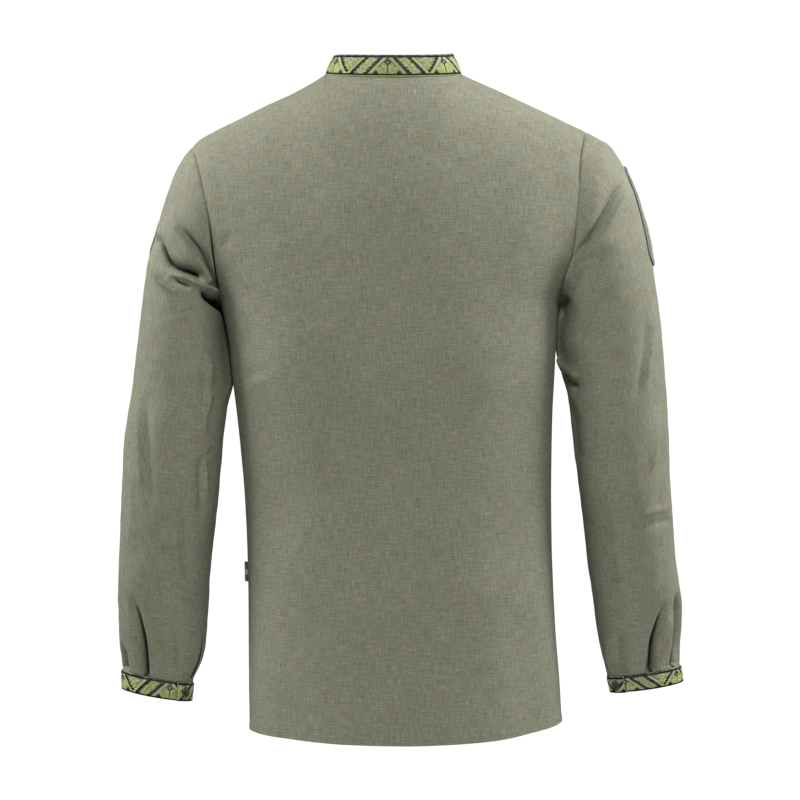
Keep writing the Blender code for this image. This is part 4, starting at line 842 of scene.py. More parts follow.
def linen(name, dark, light, warm):
    look = Look(name)
    where = look.cloth_place()
    place = look.object_place()
    up = look.noise(look.scaled(where, (640, 55, 1)), 1.0, 3.0, 0.6)
    over = look.noise(look.scaled(where, (55, 640, 1), (3.1, 7.7, 0)), 1.0, 3.0, 0.6)
    fine_up = look.noise(look.scaled(where, (1500, 160, 1)), 1.0, 1.0, 0.5)
    fine_over = look.noise(look.scaled(where, (160, 1500, 1), (9.0, 1.0, 0)), 1.0, 1.0, 0.5)
    slubs = look.both(up, 0.5, over, 0.5)
    fine = look.both(fine_up, 0.5, fine_over, 0.5)
    tone = look.both(slubs, 0.62, fine, 0.38)
    colour = look.ramp(tone, ((0.36, dark), (0.64, light)))
    soft = look.noise(place, 9.0, 3.0, 0.55)
    hue = look.noise(look.scaled(where, (160, 40, 1), (2.0, 5.0, 0)), 1.0, 3.0, 0.6)
    tint = look.ramp(hue, ((0.36, (0.975, 0.995, 1.04)), (0.64, warm)))
    colour = look.mix(1.0, colour, tint, "MULTIPLY")
    shade = look.ranged(soft, 0.3, 0.7, 0.94, 1.05)
    scaled = look.add("ShaderNodeVectorMath", {0: colour, "Scale": shade}, operation="SCALE").outputs[0]
    nep = look.noise(look.scaled(where, (420, 60, 1), (40, 12, 0)), 1.0, 1.0, 0.4)
    nep_share = look.ranged(nep, 0.74, 0.8, 0.0, 0.35)
    colour = look.mix(nep_share, scaled, (0.42, 0.42, 0.33))
    # Painted shade: where creases and tucks sink deep, the colour darkens toward three tenths of the dark
    # tone
    depth = look.add("ShaderNodeAttribute", attribute_name="depth").outputs["Fac"]
    colour = look.mix(depth, colour, tuple(0.3 * value for value in dark))
    relief = look.math("ADD", look.math("MULTIPLY", slubs, 1.6), fine)
    normal = look.bump(relief, 0.35, 0.00035)
    normal = look.bump(threads(look, where, 0.00062), 0.3, 0.00012, normal)
    rough = look.math("MULTIPLY_ADD", slubs, 0.2, 0.76)
    return look.surface(
        Base_Color=colour, Roughness=rough, Normal=normal, Sheen_Weight=0.04, Sheen_Roughness=0.4,
        Sheen_Tint=(0.86, 0.87, 0.78, 1.0), Specular_IOR_Level=0.25,
    )


def thread_look(name, dark, light, sheen=0.2, gloss=0.3):
    look = Look(name)
    place = look.object_place()
    tone = look.noise(place, 900.0, 2.0, 0.6)
    soft = look.noise(place, 60.0, 2.0, 0.5)
    both = look.math("MULTIPLY_ADD", soft, 0.4, look.math("MULTIPLY", tone, 0.6))
    colour = look.ramp(both, ((0.34, dark), (0.66, light)))
    wave = {"Vector": place, "Scale": 700.0, "Distortion": 2.0, "Detail": 1.0}
    twist = look.add("ShaderNodeTexWave", wave).outputs[1]
    normal = look.bump(twist, 0.35, 0.00012)
    return look.surface(
        Base_Color=colour, Roughness=0.62, Normal=normal, Sheen_Weight=sheen, Sheen_Roughness=0.35,
        Specular_IOR_Level=gloss,
    )


def loop_look(name):
    look = Look(name)
    place = look.object_place()
    curls = look.noise(place, 620.0, 3.0, 0.7)
    soft = look.noise(place, 70.0, 2.0, 0.5)
    both = look.math("MULTIPLY_ADD", soft, 0.35, look.math("MULTIPLY", curls, 0.65))
    colour = look.ramp(both, ((0.36, (0.058, 0.080, 0.056)), (0.64, (0.145, 0.185, 0.135))))
    normal = look.bump(curls, 0.8, 0.0006)
    return look.surface(
        Base_Color=colour, Roughness=0.92, Normal=normal, Sheen_Weight=0.5, Sheen_Roughness=0.4,
    )


def horn_look(name):
    look = Look(name)
    place = look.object_place()
    streak = look.noise(look.scaled(place, (160, 90, 420)), 1.0, 4.0, 0.6)
    browns = ((0.35, (0.030, 0.022, 0.017)), (0.55, (0.075, 0.052, 0.038)), (0.7, (0.15, 0.11, 0.08)))
    colour = look.ramp(streak, browns)
    scratch = look.noise(place, 900.0, 2.0, 0.5)
    normal = look.bump(scratch, 0.12, 0.0001)
    rough = look.math("MULTIPLY_ADD", streak, 0.15, 0.3)
    return look.surface(Base_Color=colour, Roughness=rough, Normal=normal)


def tab_look(name):
    """Woven tab, green with one plain pale bar across its middle."""
    look = Look(name)
    where = look.cloth_place()
    down = look.add("ShaderNodeSeparateXYZ", {0: where}).outputs[1]
    weave = look.noise(look.scaled(where, (700, 1600, 1)), 1.0, 2.0, 0.6)
    green = look.ramp(weave, ((0.35, (0.030, 0.050, 0.020)), (0.65, (0.085, 0.135, 0.050))))
    pale = look.ramp(weave, ((0.35, (0.30, 0.33, 0.27)), (0.65, (0.52, 0.55, 0.46))))
    low = look.math("GREATER_THAN", down, 0.0085)
    high = look.math("LESS_THAN", down, 0.0145)
    colour = look.mix(look.math("MULTIPLY", low, high), green, pale)
    normal = look.bump(weave, 0.4, 0.0002)
    return look.surface(Base_Color=colour, Roughness=0.8, Normal=normal, Sheen_Weight=0.2)


LINEN = linen("linen", (0.110, 0.112, 0.078), (0.270, 0.272, 0.208), (1.03, 1.0, 0.92))
GROUND = linen("band_ground", (0.150, 0.150, 0.118), (0.270, 0.270, 0.225), (1.02, 1.0, 0.9))
DARK = thread_look("dark_thread", (0.004, 0.004, 0.007), (0.013, 0.014, 0.020), 0.03, 0.12)
LIME = thread_look("lime_thread", (0.26, 0.32, 0.085), (0.44, 0.50, 0.16))
PALE = thread_look("pale_lime_thread", (0.46, 0.50, 0.22), (0.68, 0.72, 0.40))
EDGE = thread_look("edge_thread", (0.22, 0.22, 0.17), (0.38, 0.38, 0.29))
OLIVE = thread_look("olive_thread", (0.13, 0.125, 0.045), (0.24, 0.225, 0.085))
LOOPS = loop_look("loop_pile")
HORN = horn_look("dark_horn")
TAB = tab_look("woven_tab")


# Torso panels
def torso_grid(face, columns):
    """Rows from the shoulder down to the hem, columns from the wearer's left to right."""
    rises = ((1 + np.cos(np.linspace(0, math.pi, ARMHOLE_ROWS + 1))) / 2)[:, None]
    shares = np.linspace(1, 0, BODY_ROWS + 1)[1:, None]
    upper = upper_point(neck_columns(columns, rises), rises, face)
    points = np.concatenate([upper, lower_point(neck_columns(columns, 0.0)[None, :], shares, face)])
    piece, table = ("back", CREASES) if face > 0 else ("front", FRONT_CREASES)
    normals = mend_corners(grid_normals(points, False, face), columns)
    height = crease_height(points, table, piece)
    height += ripples(points, *BODY_SWELL, 3 if face > 0 else 5, (1.0, 0.6, 0.35))
    height += ripples(points, *BODY_GRAIN, 4 if face > 0 else 6)
    height *= ease((1 - np.abs(columns)) / 0.12)[None, :]
    height[:ARMHOLE_ROWS] *= ease(np.arange(ARMHOLE_ROWS) / 12)[:, None]
    return points + normals * height[..., None]


def torso_panel(face):
    """Columns, points, normals, both skins and the cloth's own map of the back or the front."""
    columns = half_columns(*(BACK_COLUMNS if face > 0 else FRONT_COLUMNS))
    points = torso_grid(face, columns)
    normals = mend_corners(grid_normals(points, False, face), columns)
    along_rows = lengths(points, 1, 0)
    middle = nearest(columns, 0.0)
    from_left, from_right = along_rows, along_rows[:, -1:] - along_rows
    from_top, from_hem = lengths(points, 0, 0), -lengths(points, 0, -1)
    neck = np.abs(columns) < NECK_HALF / tip(columns)
    side_seam = seam_dip(from_left, *SIDE_SEAM) + seam_dip(from_right, *SIDE_SEAM)
    sewn = seam_dip(from_left, *ARM_SEAM) * seam_share(1, points[:, :1, 2])
    sewn += seam_dip(from_right, *ARM_SEAM) * seam_share(-1, points[:, -1:, 2])
    height = np.where(np.arange(len(points))[:, None] <= ARMHOLE_ROWS, sewn, side_seam)
    height += np.where(neck[None, :], 0.0, seam_dip(from_top, 0.5, 1.4))
    height += 0.5 * ease((HEM - from_hem) / 1.2) - 0.35 * np.exp(-(((from_hem - HEM_LINE) / 0.7) ** 2))
    thick = WALL + 1.0 * ease((HEM - from_hem) / 1.0)
    outer = points + normals * height[..., None]
    inner = points - normals * thick[..., None]
    weave = flat_map(points, ARMHOLE_ROWS, middle)
    return columns, points, normals, outer, inner, weave


def hem_stitches(name, points, normals, from_hem):
    """Row of stitches along a hem."""
    line, out = [], []
    for j in range(points.shape[1]):
        d = from_hem[::-1, j]
        line.append(at_place(HEM_LINE, d, points[::-1, j]))
        out.append(at_place(HEM_LINE, d, normals[::-1, j]))
    row = stitch_row(name, np.array(line), unit(np.array(out)), *SEWING, 0.55, 0.55, OLIVE)
    return finish_piece(row, "linen")


def stitch_row(name, line, out, pitch, length, width, lift, look):
    """Stitches along a line of points, each a small rounded bar."""
    run = np.concatenate([[0], np.cumsum(np.linalg.norm(np.diff(line, axis=0), axis=1))])
    vertices, faces = [], []
    # place along the stitch, half width, height
    profile = ((-0.5, 0.25, -0.15), (-0.3, 0.5, 0.55), (0.3, 0.5, 0.55), (0.5, 0.25, -0.15))
    for s in np.arange(pitch / 2, run[-1] - pitch / 2, pitch):
        p, q = at_place(s, run, line), at_place(s + 0.5, run, line)
        n = unit(at_place(s, run, out))
        way = unit(q - p)
        side = np.cross(n, way)
        start = len(vertices)
        for a, w, h in profile:
            for across, up in ((-w, 0.0), (0.0, 1.0), (w, 0.0)):
                rise = h * up * lift - 0.1 * lift * (1 - up)
                vertices.append(p + way * a * length + side * across * width + n * rise)
        for k in range(3):
            a, b = start + 3 * k, start + 3 * k + 3
            faces += [(a, a + 1, b + 1, b), (a + 1, a + 2, b + 2, b + 1), (a + 2, a, b, b + 2)]
        end = start + 9
        faces += [(start + 2, start + 1, start), (end, end + 1, end + 2)]
    return thread_mesh(name, vertices, faces, look)


def open_column(values, run, column_at, before, after):
    """Splits a column in two and draws its lips apart along each row, with the cloth beside them."""
    wide = np.insert(values, column_at, values[:, column_at], axis=1)
    flat = wide.reshape(wide.shape[0], wide.shape[1], -1)
    done = flat.copy()
    for i in range(len(values)):
        if after[i] == 0:
            continue
        place = run[i] - run[i, column_at]
        split = np.insert(place, column_at, 0.0)
        near = np.exp(-((split / VENT_REACH) ** 2))
        pull = np.where(np.arange(wide.shape[1]) <= column_at, before[i], -after[i])
        target = split - near * pull
        done[i] = at_place(target, place, values[i].reshape(len(place), -1))
    return done.reshape(wide.shape)


def slit_faces(rows, columns, wrap, turn, column_at, opening):
    """Faces of a grid with a split column, whose two lines are one where the slit is closed."""
    quads, maps = grid_faces(rows, columns, wrap, turn, column_at)
    closed = np.flatnonzero(np.asarray(opening) == 0)
    number = np.arange(rows * columns)
    number[closed * columns + column_at + 1] = closed * columns + column_at
    return number[quads], maps


# Sleeves
def sleeve_columns():
    """Angles of the columns of a sleeve, closer together at the back."""
    turn = 2 * math.pi * np.arange(SLEEVE_COLUMNS) / SLEEVE_COLUMNS
    return turn + SLEEVE_BUNCH * (np.cos(turn) - 1)


def sleeve_grid(side):
    """Rows from armhole to cuff, columns round the sleeve from the outer line over the back."""
    where = "left" if side > 0 else "right"
    rings = np.linspace(0, 1, SLEEVE_ROWS + 1)
    rings = rings - RING_BUNCH * np.sin(2 * math.pi * rings) / (2 * math.pi)
    even_vent, cuff_vent, _ = VENT[where]
    even = sleeve_columns()
    number = nearest(even, math.radians(even_vent))
    turn = (math.radians(cuff_vent) - even[number]) * ease(rings / 0.7)
    angles = even[None, :] + turn[:, None]
    points = sleeve_point(side, rings[:, None], angles)
    keep = ease((rings - 0.35) / 0.3)[:, None, None]
    points = points * (1 - keep) + depth_scale(points) * keep
    points[..., 2] -= CUFF_DROOP * np.sin(angles) * ease((rings - DROOP_START) / (1 - DROOP_START))[:, None]
    normals = grid_normals(points, True, side)
    piece = f"sleeve_{where}"
    tuck = crease_height(points, CREASES, f"{piece}_tuck")
    points[..., 0] -= side * TOUCH * ease(tuck / TUCK_DEEP) * ease(-np.cos(angles) / 0.8)
    tuck *= ease(np.sin(angles) / 0.6)
    height = crease_height(points, CREASES, piece) * ease(np.sin(angles) / 0.25)
    height += crease_height(points, FRONT_CREASES, piece) * ease(-np.sin(angles) / 0.25)
    # Painted shade, strongest in the deepest troughs of the creases
    depth = ease((-height - PAINTED_SHADE_FROM) / PAINTED_SHADE_RANGE)
    height += ripples(points, *SLEEVE_SWELL, 11 + side, (1.0, 1.0, 0.45))
    height += ripples(points, *SLEEVE_GRAIN, 21 + side)
    height *= ease(rings / 0.05)[:, None] * (0.15 + 0.85 * ease((1 - rings) / 0.02))[:, None]
    points = points + normals * height[..., None]
    points[..., 1] -= tuck
    # Also returns the painted shade of the crease troughs and of the tucks on the inner sides
    return rings, number, points, np.maximum(depth, ease(tuck / TUCK_SHADE_RANGE))


def sleeve(side):
    where = "left" if side > 0 else "right"
    rings, number, points, depth = sleeve_grid(side)
    normals = grid_normals(points, True, side)
    down = lengths(points, 0, 0)
    dip = (seam_dip(down, 1.9, 1.2) + seam_dip(down, 0.35, 4.0)) * seam_share(side, points[:1, :, 2])
    outer = points + normals * dip[..., None]
    inner = outer - normals * WALL
    start = VENT[where][2]
    far = (rings - start) / (1 - start)
    before, after = (
        np.where(far > 0, np.interp(far, np.linspace(0, 1, len(lip)), lip), 0.0) for lip in VENT_OPEN[where]
    )
    closed_ring = np.concatenate([points, points[:, :1]], axis=1)
    round_it = lengths(closed_ring, 1, 0)
    up = down[-1:] - down
    weave = np.stack([round_it * side, np.concatenate([up, up[:, :1]], axis=1)], axis=-1)
    weave = np.insert(weave, number, weave[:, number], axis=1)
    run = round_it[:, :-1]
    outer_split = open_column(outer, run, number, before, after)
    inner_split = open_column(inner, run, number, before, after)
    # Painted shade of creases and tucks, split at the vent like the cloth
    painted_shade_split = np.insert(depth, number, depth[:, number], axis=1)
    rows, columns = outer_split.shape[:2]
    quads, maps = slit_faces(rows, columns, True, side, number, after)
    name = f"linen_sleeve_{where}"
    obj = shell(name, outer_split, inner_split, weave, quads, maps, LINEN, painted_shade_split)
    finish_piece(obj, "linen", f"sleeve_{where}")
    return obj, points, normals


# Embroidered bands
# Length of the repeat, height of its field, and the width and height of one stitch
PERIOD, FIELD = 68.0, 18.0
STITCH_ALONG, STITCH_HIGH = 1.0, 0.9
# Pitch and width of the pale ticks along the top, and the share of lime stitches painted pale lime as glints
# of sheen
TICK_PITCH, TICK_WIDE, PAINTED_GLINT_SHARE = 3.3, 1.5, 0.22
# The pattern on the cuffs is this much smaller
CUFF_PATTERN = 1.02


def chart(a, t):
    """Thread at places of the band: 0 none, 1 dark, 2 lime, 3 pale. a runs along it, t up it."""
    a = np.mod(a, PERIOD)
    b = PERIOD - a
    x = np.minimum(a, b)
    code = np.zeros(a.shape, int)

    def edge(top, bottom):
        return top + (bottom - top) * (1 - t)

    tooth = np.where(np.mod(t * 6.0, 1.0) < 0.5, 1.9, 0.0)

    def flower(centre_a, centre_t, wide, high):
        dx, dy = (a - centre_a) / wide, (t - centre_t) * FIELD / high
        r, turn = np.hypot(dx, dy), np.arctan2(dy, dx)
        petals = r < 0.86 + 0.22 * np.cos(4 * turn)
        code[petals & (r > 0.2)] = 2
        code[petals & (r > 0.5) & (np.cos(8 * turn) > 0.55)] = 3

    for centre in (0.82, 0.5, 0.16):
        flower(16.2 + 16.4 * (1 - centre), centre, 5.6, 4.3)
    for da, dt in ((-5.0, 0.16), (4.6, -0.14)):
        for centre in (0.66, 0.34):
            spot = 16.2 + 16.4 * (1 - centre) + da
            code[(np.abs(a - spot) < 1.7) & (np.abs(t - centre - dt) < 0.08)] = 2
    code[(a >= edge(5.2, 21.8)) & (a < edge(8.4, 25.0) + tooth)] = 1
    code[(a >= edge(23.2, 39.8) - tooth) & (a < edge(26.4, 43.0))] = 1
    flower(44.6, 0.80, 7.4, 4.2)
    flower(45.4, 0.46, 4.8, 3.6)
    code[(np.abs(a - 46.0) < 1.9) & (t > 0.12) & (t < 0.4)] = 2
    inside_v = (a >= edge(30.2, 46.8)) & (b >= edge(5.2, 21.8))
    code[inside_v & (b < edge(8.0, 24.6) + tooth)] = 1
    leg_b = (a >= edge(26.8, 43.4)) & (a < edge(30.4, 47.0))
    code[leg_b] = 2
    leg = (x >= edge(1.2, 17.6)) & (x < edge(4.8, 21.4))
    code[leg] = 2
    code[leg & (np.abs(x - edge(3.0, 19.5)) < 0.5)] = 3
    code[leg_b & (np.abs(a - edge(28.6, 45.2)) < 0.5)] = 3
    tent = x < edge(1.0, 17.4)
    side_leaf = np.hypot((x - 8.0) / 5.6, (t - 0.22 - (x - 8.0) * 0.012) * FIELD / 2.8) < 1
    middle_leaf = np.hypot((x - 2.6) / 2.1, (t - 0.3) * FIELD / 5.6) < 1
    upper_leaf = np.hypot((x - 6.2 + t * 3) / 2.2, (t - 0.44) * FIELD / 3.0) < 1
    code[tent & (side_leaf | middle_leaf | upper_leaf | ((t < 0.12) & (x < 13.0)))] = 2
    code[tent & (np.abs(x - 2.4) < 0.5) & (t > 0.1) & (t < 0.45)] = 3
    code[(x < 0.6) & (t > 0.06) & (t < 0.5)] = 1
    code[(x < 0.6) & (t > 0.84)] = 1
    code[x / 4.2 + np.abs(t - 0.69) * FIELD / 3.6 < 1] = 1
    code[x / 1.3 + np.abs(t - 0.69) * FIELD / 1.3 < 1] = 3
    code[np.abs(x - 12.6) / 3.0 + t * FIELD / 3.8 < 1] = 1
    code[(np.abs(a - 31.6 - 16.4 * 0.98) < 2.4) & (t < 0.06)] = 2
    return code


def band_stitches(name, points, normals, centre, size, teeth, foot):
    """Raised stitches on a band. Its grid runs from the top edge down, and along the band."""
    along, high = STITCH_ALONG, STITCH_HIGH
    rows = points.shape[0]
    run = lengths(points, 1, 0).mean(axis=0)
    levels = lengths(points, 0, 0).mean(axis=1)
    height = float(levels[-1])
    columns_at = np.arange(along * 0.8, run[-1] - along * 0.6, along)
    rows_at = np.arange(high * 0.5, height - high * 0.3, high)
    s, h = np.meshgrid(columns_at, rows_at, indexing="ij")
    s, h = s.ravel(), h.ravel()
    a = np.abs(s - centre) * size
    t = (h - foot) / (height - teeth - foot)
    code = np.where((t > 0) & (t < 1), chart(a, np.clip(t, 0, 1)), 1)
    tick = (h > height - teeth * 0.62) & (h < height) & (np.mod(s, TICK_PITCH) < TICK_WIDE)
    code = np.where(tick, 4, code)
    # Painted highlight: a random share of lime stitches take pale lime as glints of sheen
    painted_glint = random.random(len(s)) < PAINTED_GLINT_SHARE
    code = np.where((code == 2) & painted_glint, 3, code)
    level = 0.36 + 0.12 * random.random(len(s))
    keep = code > 0
    s, h, code, level = s[keep], h[keep], code[keep], level[keep]

    def at(along_at, up_at):
        """Point and normal of the band."""
        down = np.interp(height - up_at, levels, np.arange(rows))
        i = np.clip(down.astype(int), 0, rows - 2)
        u = (down - i)[:, None]
        j = np.clip(np.searchsorted(run, along_at, side="right") - 1, 0, len(run) - 2)
        v = ((along_at - run[j]) / (run[j + 1] - run[j]))[:, None]
        both = []
        for grid in (points, normals):
            upper = grid[i, j] * (1 - v) + grid[i, j + 1] * v
            lower = grid[i + 1, j] * (1 - v) + grid[i + 1, j + 1] * v
            both.append(upper * (1 - u) + lower * u)
        return both[0], unit(both[1])

    corners, tops = [], []
    for da, dh in ((-1, -1), (1, -1), (1, 1), (-1, 1)):
        p, n = at(s + da * along * 0.5, h + dh * high * 0.5)
        corners.append(p - n * 0.12)
        p, n = at(s + da * along * 0.27, h + dh * high * 0.34)
        tops.append(p + n * level[:, None])
    vertices = np.stack(corners + tops, axis=1)
    count = len(vertices)
    base = (np.arange(count) * 8)[:, None]
    corner_order = [(k, (k + 1) % 4, 4 + (k + 1) % 4, 4 + k) for k in range(4)] + [(4, 5, 6, 7), (3, 2, 1, 0)]
    faces = np.stack([np.concatenate([base + k for k in order], 1) for order in corner_order], axis=1)
    upward = vertices[:, 4:].mean(axis=1) - vertices[:, :4].mean(axis=1)
    facing = np.cross(vertices[:, 5] - vertices[:, 4], vertices[:, 7] - vertices[:, 4])
    if np.median(np.einsum("ij,ij->i", facing, upward)) < 0:
        faces = faces[..., ::-1]
    mesh = bpy.data.meshes.new(name)
    mesh.from_pydata((vertices.reshape(-1, 3) * MM).tolist(), [], faces.reshape(-1, 4).tolist())
    for look in (DARK, LIME, PALE, EDGE):
        mesh.materials.append(look)
    mesh.polygons.foreach_set("material_index", np.repeat(code - 1, 6).astype(np.int32))
    return finish_piece(linked(name, mesh), "embroidered_band")


def band_lap(turns, start, lying, falling):
    """How far the first end of a band lies out over its other end."""
    return (BAND_WALL + BAND_LAP) * (1 - ease((turns - start - lying) / falling))


def band_shell(name, outer, normals, node, turn):
    """Doubled band with rounded edges, from its outer surface."""
    rows, columns = outer.shape[:2]
    inner = outer - normals * BAND_WALL
    along = lengths(outer, 1, 0)
    down = lengths(outer, 0, 0)
    edge = np.minimum(down, down[-1:] - down)
    ends = np.minimum(along, along[:, -1:] - along)
    deep, reach = BAND_EDGE
    round_off = deep * np.exp(-edge / reach) + deep * np.exp(-ends / reach)
    outer_skin = outer - normals * round_off[..., None]
    inner_skin = inner + normals * round_off[..., None]
    weave = np.stack([along, -down], axis=-1)
    obj = grid_shell(name, outer_skin, inner_skin, weave, GROUND, turn)
    return finish_piece(obj, "embroidered_band", node)


def cuff(side):
    where = "left" if side > 0 else "right"
    top, bottom = CUFF_LEFT if side > 0 else CUFF_RIGHT
    degrees = np.linspace(CUFF_START, CUFF_START + CUFF_TURN, CUFF_COLUMNS)
    angles = np.radians(degrees)[None, :]
    down = np.array(BAND_ROWS)[:, None]
    oz, ox, iz, ix, y, depth = (top[k] * (1 - down) + bottom[k] * down for k in range(1, 7))
    c, s = np.cos(angles), np.sin(angles)
    x, z = side * ((ox + ix) / 2 + (ox - ix) / 2 * c), (oz + iz) / 2 + (oz - iz) / 2 * c
    points = np.stack([x, y + depth * s, z], axis=-1)
    points = depth_scale(points) - CUFF_DROOP * s[..., None] * (0.0, 0.0, 1.0)
    normals = grid_normals(points, False, side)
    lap = band_lap(degrees, CUFF_START, 34, 40)
    drawn = CUFF_DRAWN * np.exp(-((lengths(points, 0, 0) / 2.2) ** 2))
    outer = points + normals * (lap[None, :] - drawn)[..., None]
    obj = band_shell(f"band_cuff_{where}", outer, normals, f"cuff_{where}", side)
    tilted = grid_normals(outer, False, side)
    run = lengths(outer, 1, 0).mean(axis=0)
    middle, repeats = CUFF_MIDDLE[where]
    centre = float(np.interp(middle, degrees, run)) + repeats * PERIOD / CUFF_PATTERN
    work = band_stitches(f"embroidery_cuff_{where}", outer, tilted, centre, CUFF_PATTERN, 3.0, 2.0)
    at = CUFF_BUTTON_ANGLE[where]
    place = at_place(at, degrees, outer.mean(axis=0))
    out = unit(at_place(at, degrees, tilted.mean(axis=0)))
    button(f"horn_button_cuff_{where}", place, out, f"button_cuff_{where}")
    return obj, work


def neckline(turns):
    """Points of the neckline, turns in degrees from the front round over the wearer's left."""
    a = np.radians(turns)
    side = np.where(np.sin(a) >= 0, 1.0, -1.0)
    q = NECK_HALF / tip(side) * np.sin(a)
    back, front = upper_point(q, 1.0, 1), upper_point(q, 1.0, -1)
    return np.where((np.cos(a) < 0)[:, None], back, front)


def collar():
    turns = COLLAR_START + COLLAR_TURN * np.linspace(0, 1, COLLAR_COLUMNS)
    foot = neckline(turns)
    ahead = ease((np.cos(np.radians(turns)) + 0.1) / 0.2)
    foot[:, 2] += COLLAR_FOOT_BACK + (COLLAR_FOOT_FRONT - COLLAR_FOOT_BACK) * ahead
    lean = read(COLLAR_LEAN, turns)
    inward = unit(-foot * (1, 1, 0))
    tall = COLLAR_HEIGHT - 2.0 * np.exp(-(((turns - 90.0) / 22.0) ** 2))
    rise = np.sqrt(tall**2 - lean**2)
    up = inward * lean[:, None] + np.array([0, 0, 1.0]) * rise[:, None]
    shares = np.array(BAND_ROWS[::-1])
    points = foot[None] + up[None] * shares[:, None, None]
    bulge = COLLAR_BULGE * 4 * shares * (1 - shares)
    points -= inward[None] * bulge[:, None, None]
    facing = grid_normals(points, False, 1)
    normals = unit(facing * (1, 1, 0))
    lap = band_lap(turns, COLLAR_START, 26, 26)
    outer = points + normals * lap[None, :, None]
    obj = band_shell("band_collar", outer, normals, "collar", 1)
    facing = grid_normals(outer, False, 1)
    run = lengths(outer, 1, 0).mean(axis=0)
    centre = float(np.interp(COLLAR_MIDDLE, turns, run))
    work = band_stitches("embroidery_collar", outer, facing, centre, 1.0, 3.4, 2.6)
    middle = outer.shape[0] // 2
    place = at_place(0.0, turns, outer[middle])
    out = unit(at_place(0.0, turns, facing[middle]))
    button("horn_button_collar", place, out, "button_collar")
    return obj, work


# Buttons
def rod(bm, segments, radius, depth):
    """Corners of a new round rod."""
    size = {"radius1": radius * MM, "radius2": radius * MM, "depth": depth * MM}
    return bmesh.ops.create_cone(bm, cap_ends=True, segments=segments, **size)["verts"]


def button_mesh():
    """Round horn button with a rim, a dished face, four holes and its thread."""
    profile = (
        (0.0, 0.0), (0.80, 0.0), (0.93, 0.10), (1.0, 0.32), (1.0, 0.55), (0.965, 0.86), (0.90, 1.0),
        (0.82, 1.0), (0.75, 0.90), (0.68, 0.74), (0.45, 0.66), (0.0, 0.64),
    )
    count = BUTTON_CORNERS
    bm = bmesh.new()
    rings = []
    for r, h in profile:
        z = h * BUTTON_THICK * MM
        if r == 0.0:
            rings.append([bm.verts.new((0, 0, z))])
            continue
        r *= BUTTON_RADIUS
        turn = [2 * math.pi * i / count for i in range(count)]
        rings.append([bm.verts.new((r * math.cos(a) * MM, r * math.sin(a) * MM, z)) for a in turn])
    for low, high in zip(rings, rings[1:]):
        for i in range(count):
            k = (i + 1) % count
            corners = [low[i % len(low)], low[k % len(low)], high[k % len(high)], high[i % len(high)]]
            bm.faces.new(list(dict.fromkeys(corners)))
    bmesh.ops.recalc_face_normals(bm, faces=bm.faces)
    mesh = bpy.data.meshes.new("button")
    bm.to_mesh(mesh)
    bm.free()
    body = linked("button_body", mesh)
    bm = bmesh.new()
    for i in range(4):
        angle = math.pi / 4 + i * math.pi / 2
        made = rod(bm, 14, HOLE_RADIUS, 6.0)
        place = (HOLE_OFF * MM * math.cos(angle), HOLE_OFF * MM * math.sin(angle), 0.5 * MM)
        bmesh.ops.translate(bm, verts=made, vec=place)
    pins = bpy.data.meshes.new("button_pins")
    bm.to_mesh(pins)
    bm.free()
    drill = linked("button_pins", pins)
    cut = body.modifiers.new("holes", "BOOLEAN")
    cut.operation, cut.solver, cut.object = "DIFFERENCE", "EXACT", drill
    bpy.context.view_layer.update()
    graph = bpy.context.evaluated_depsgraph_get()
    drilled = bpy.data.meshes.new_from_object(body.evaluated_get(graph))
    bpy.data.objects.remove(body)
    bpy.data.objects.remove(drill)
    drilled.shade_smooth()
    mark_sharp(drilled, BUTTON_SHARP)
    bm = bmesh.new()
    bm.from_mesh(drilled)
    for face in bm.faces:
        face.material_index = 0
    for turn in (math.pi / 4, -math.pi / 4):
        for bar in (-TIE_OFF, TIE_OFF):
            made = rod(bm, 8, TIE_RADIUS, TIE_LENGTH)
            lift = Matrix.Translation((0, 0, (0.72 if turn > 0 else 0.9) * BUTTON_THICK * MM))
            shift = Matrix.Translation((0, bar * MM, 0))
            lay = shift @ Matrix.Rotation(math.pi / 2, 4, "Y")
            bmesh.ops.transform(bm, matrix=lift @ Matrix.Rotation(turn, 4, "Z") @ lay, verts=made)
            for face in {f for v in made for f in v.link_faces}:
                face.material_index = 1
    bm.to_mesh(drilled)
    bm.free()
    drilled.materials.clear()
    for look in (HORN, DARK):
        drilled.materials.append(look)
    return drilled


def button(name, place, out, node):
    obj = linked(name, BUTTON.copy())
    z = unit(np.asarray(out, float))
    x = unit(np.cross((0.0, 0.0, 1.0), z))
    y = np.cross(z, x)
    origin = (np.asarray(place) + z * BUTTON_GAP) * MM
    obj.matrix_world = Matrix([[x[i], y[i], z[i], origin[i]] for i in range(3)] + [[0, 0, 0, 1]])
    return finish_piece(obj, "button", node)


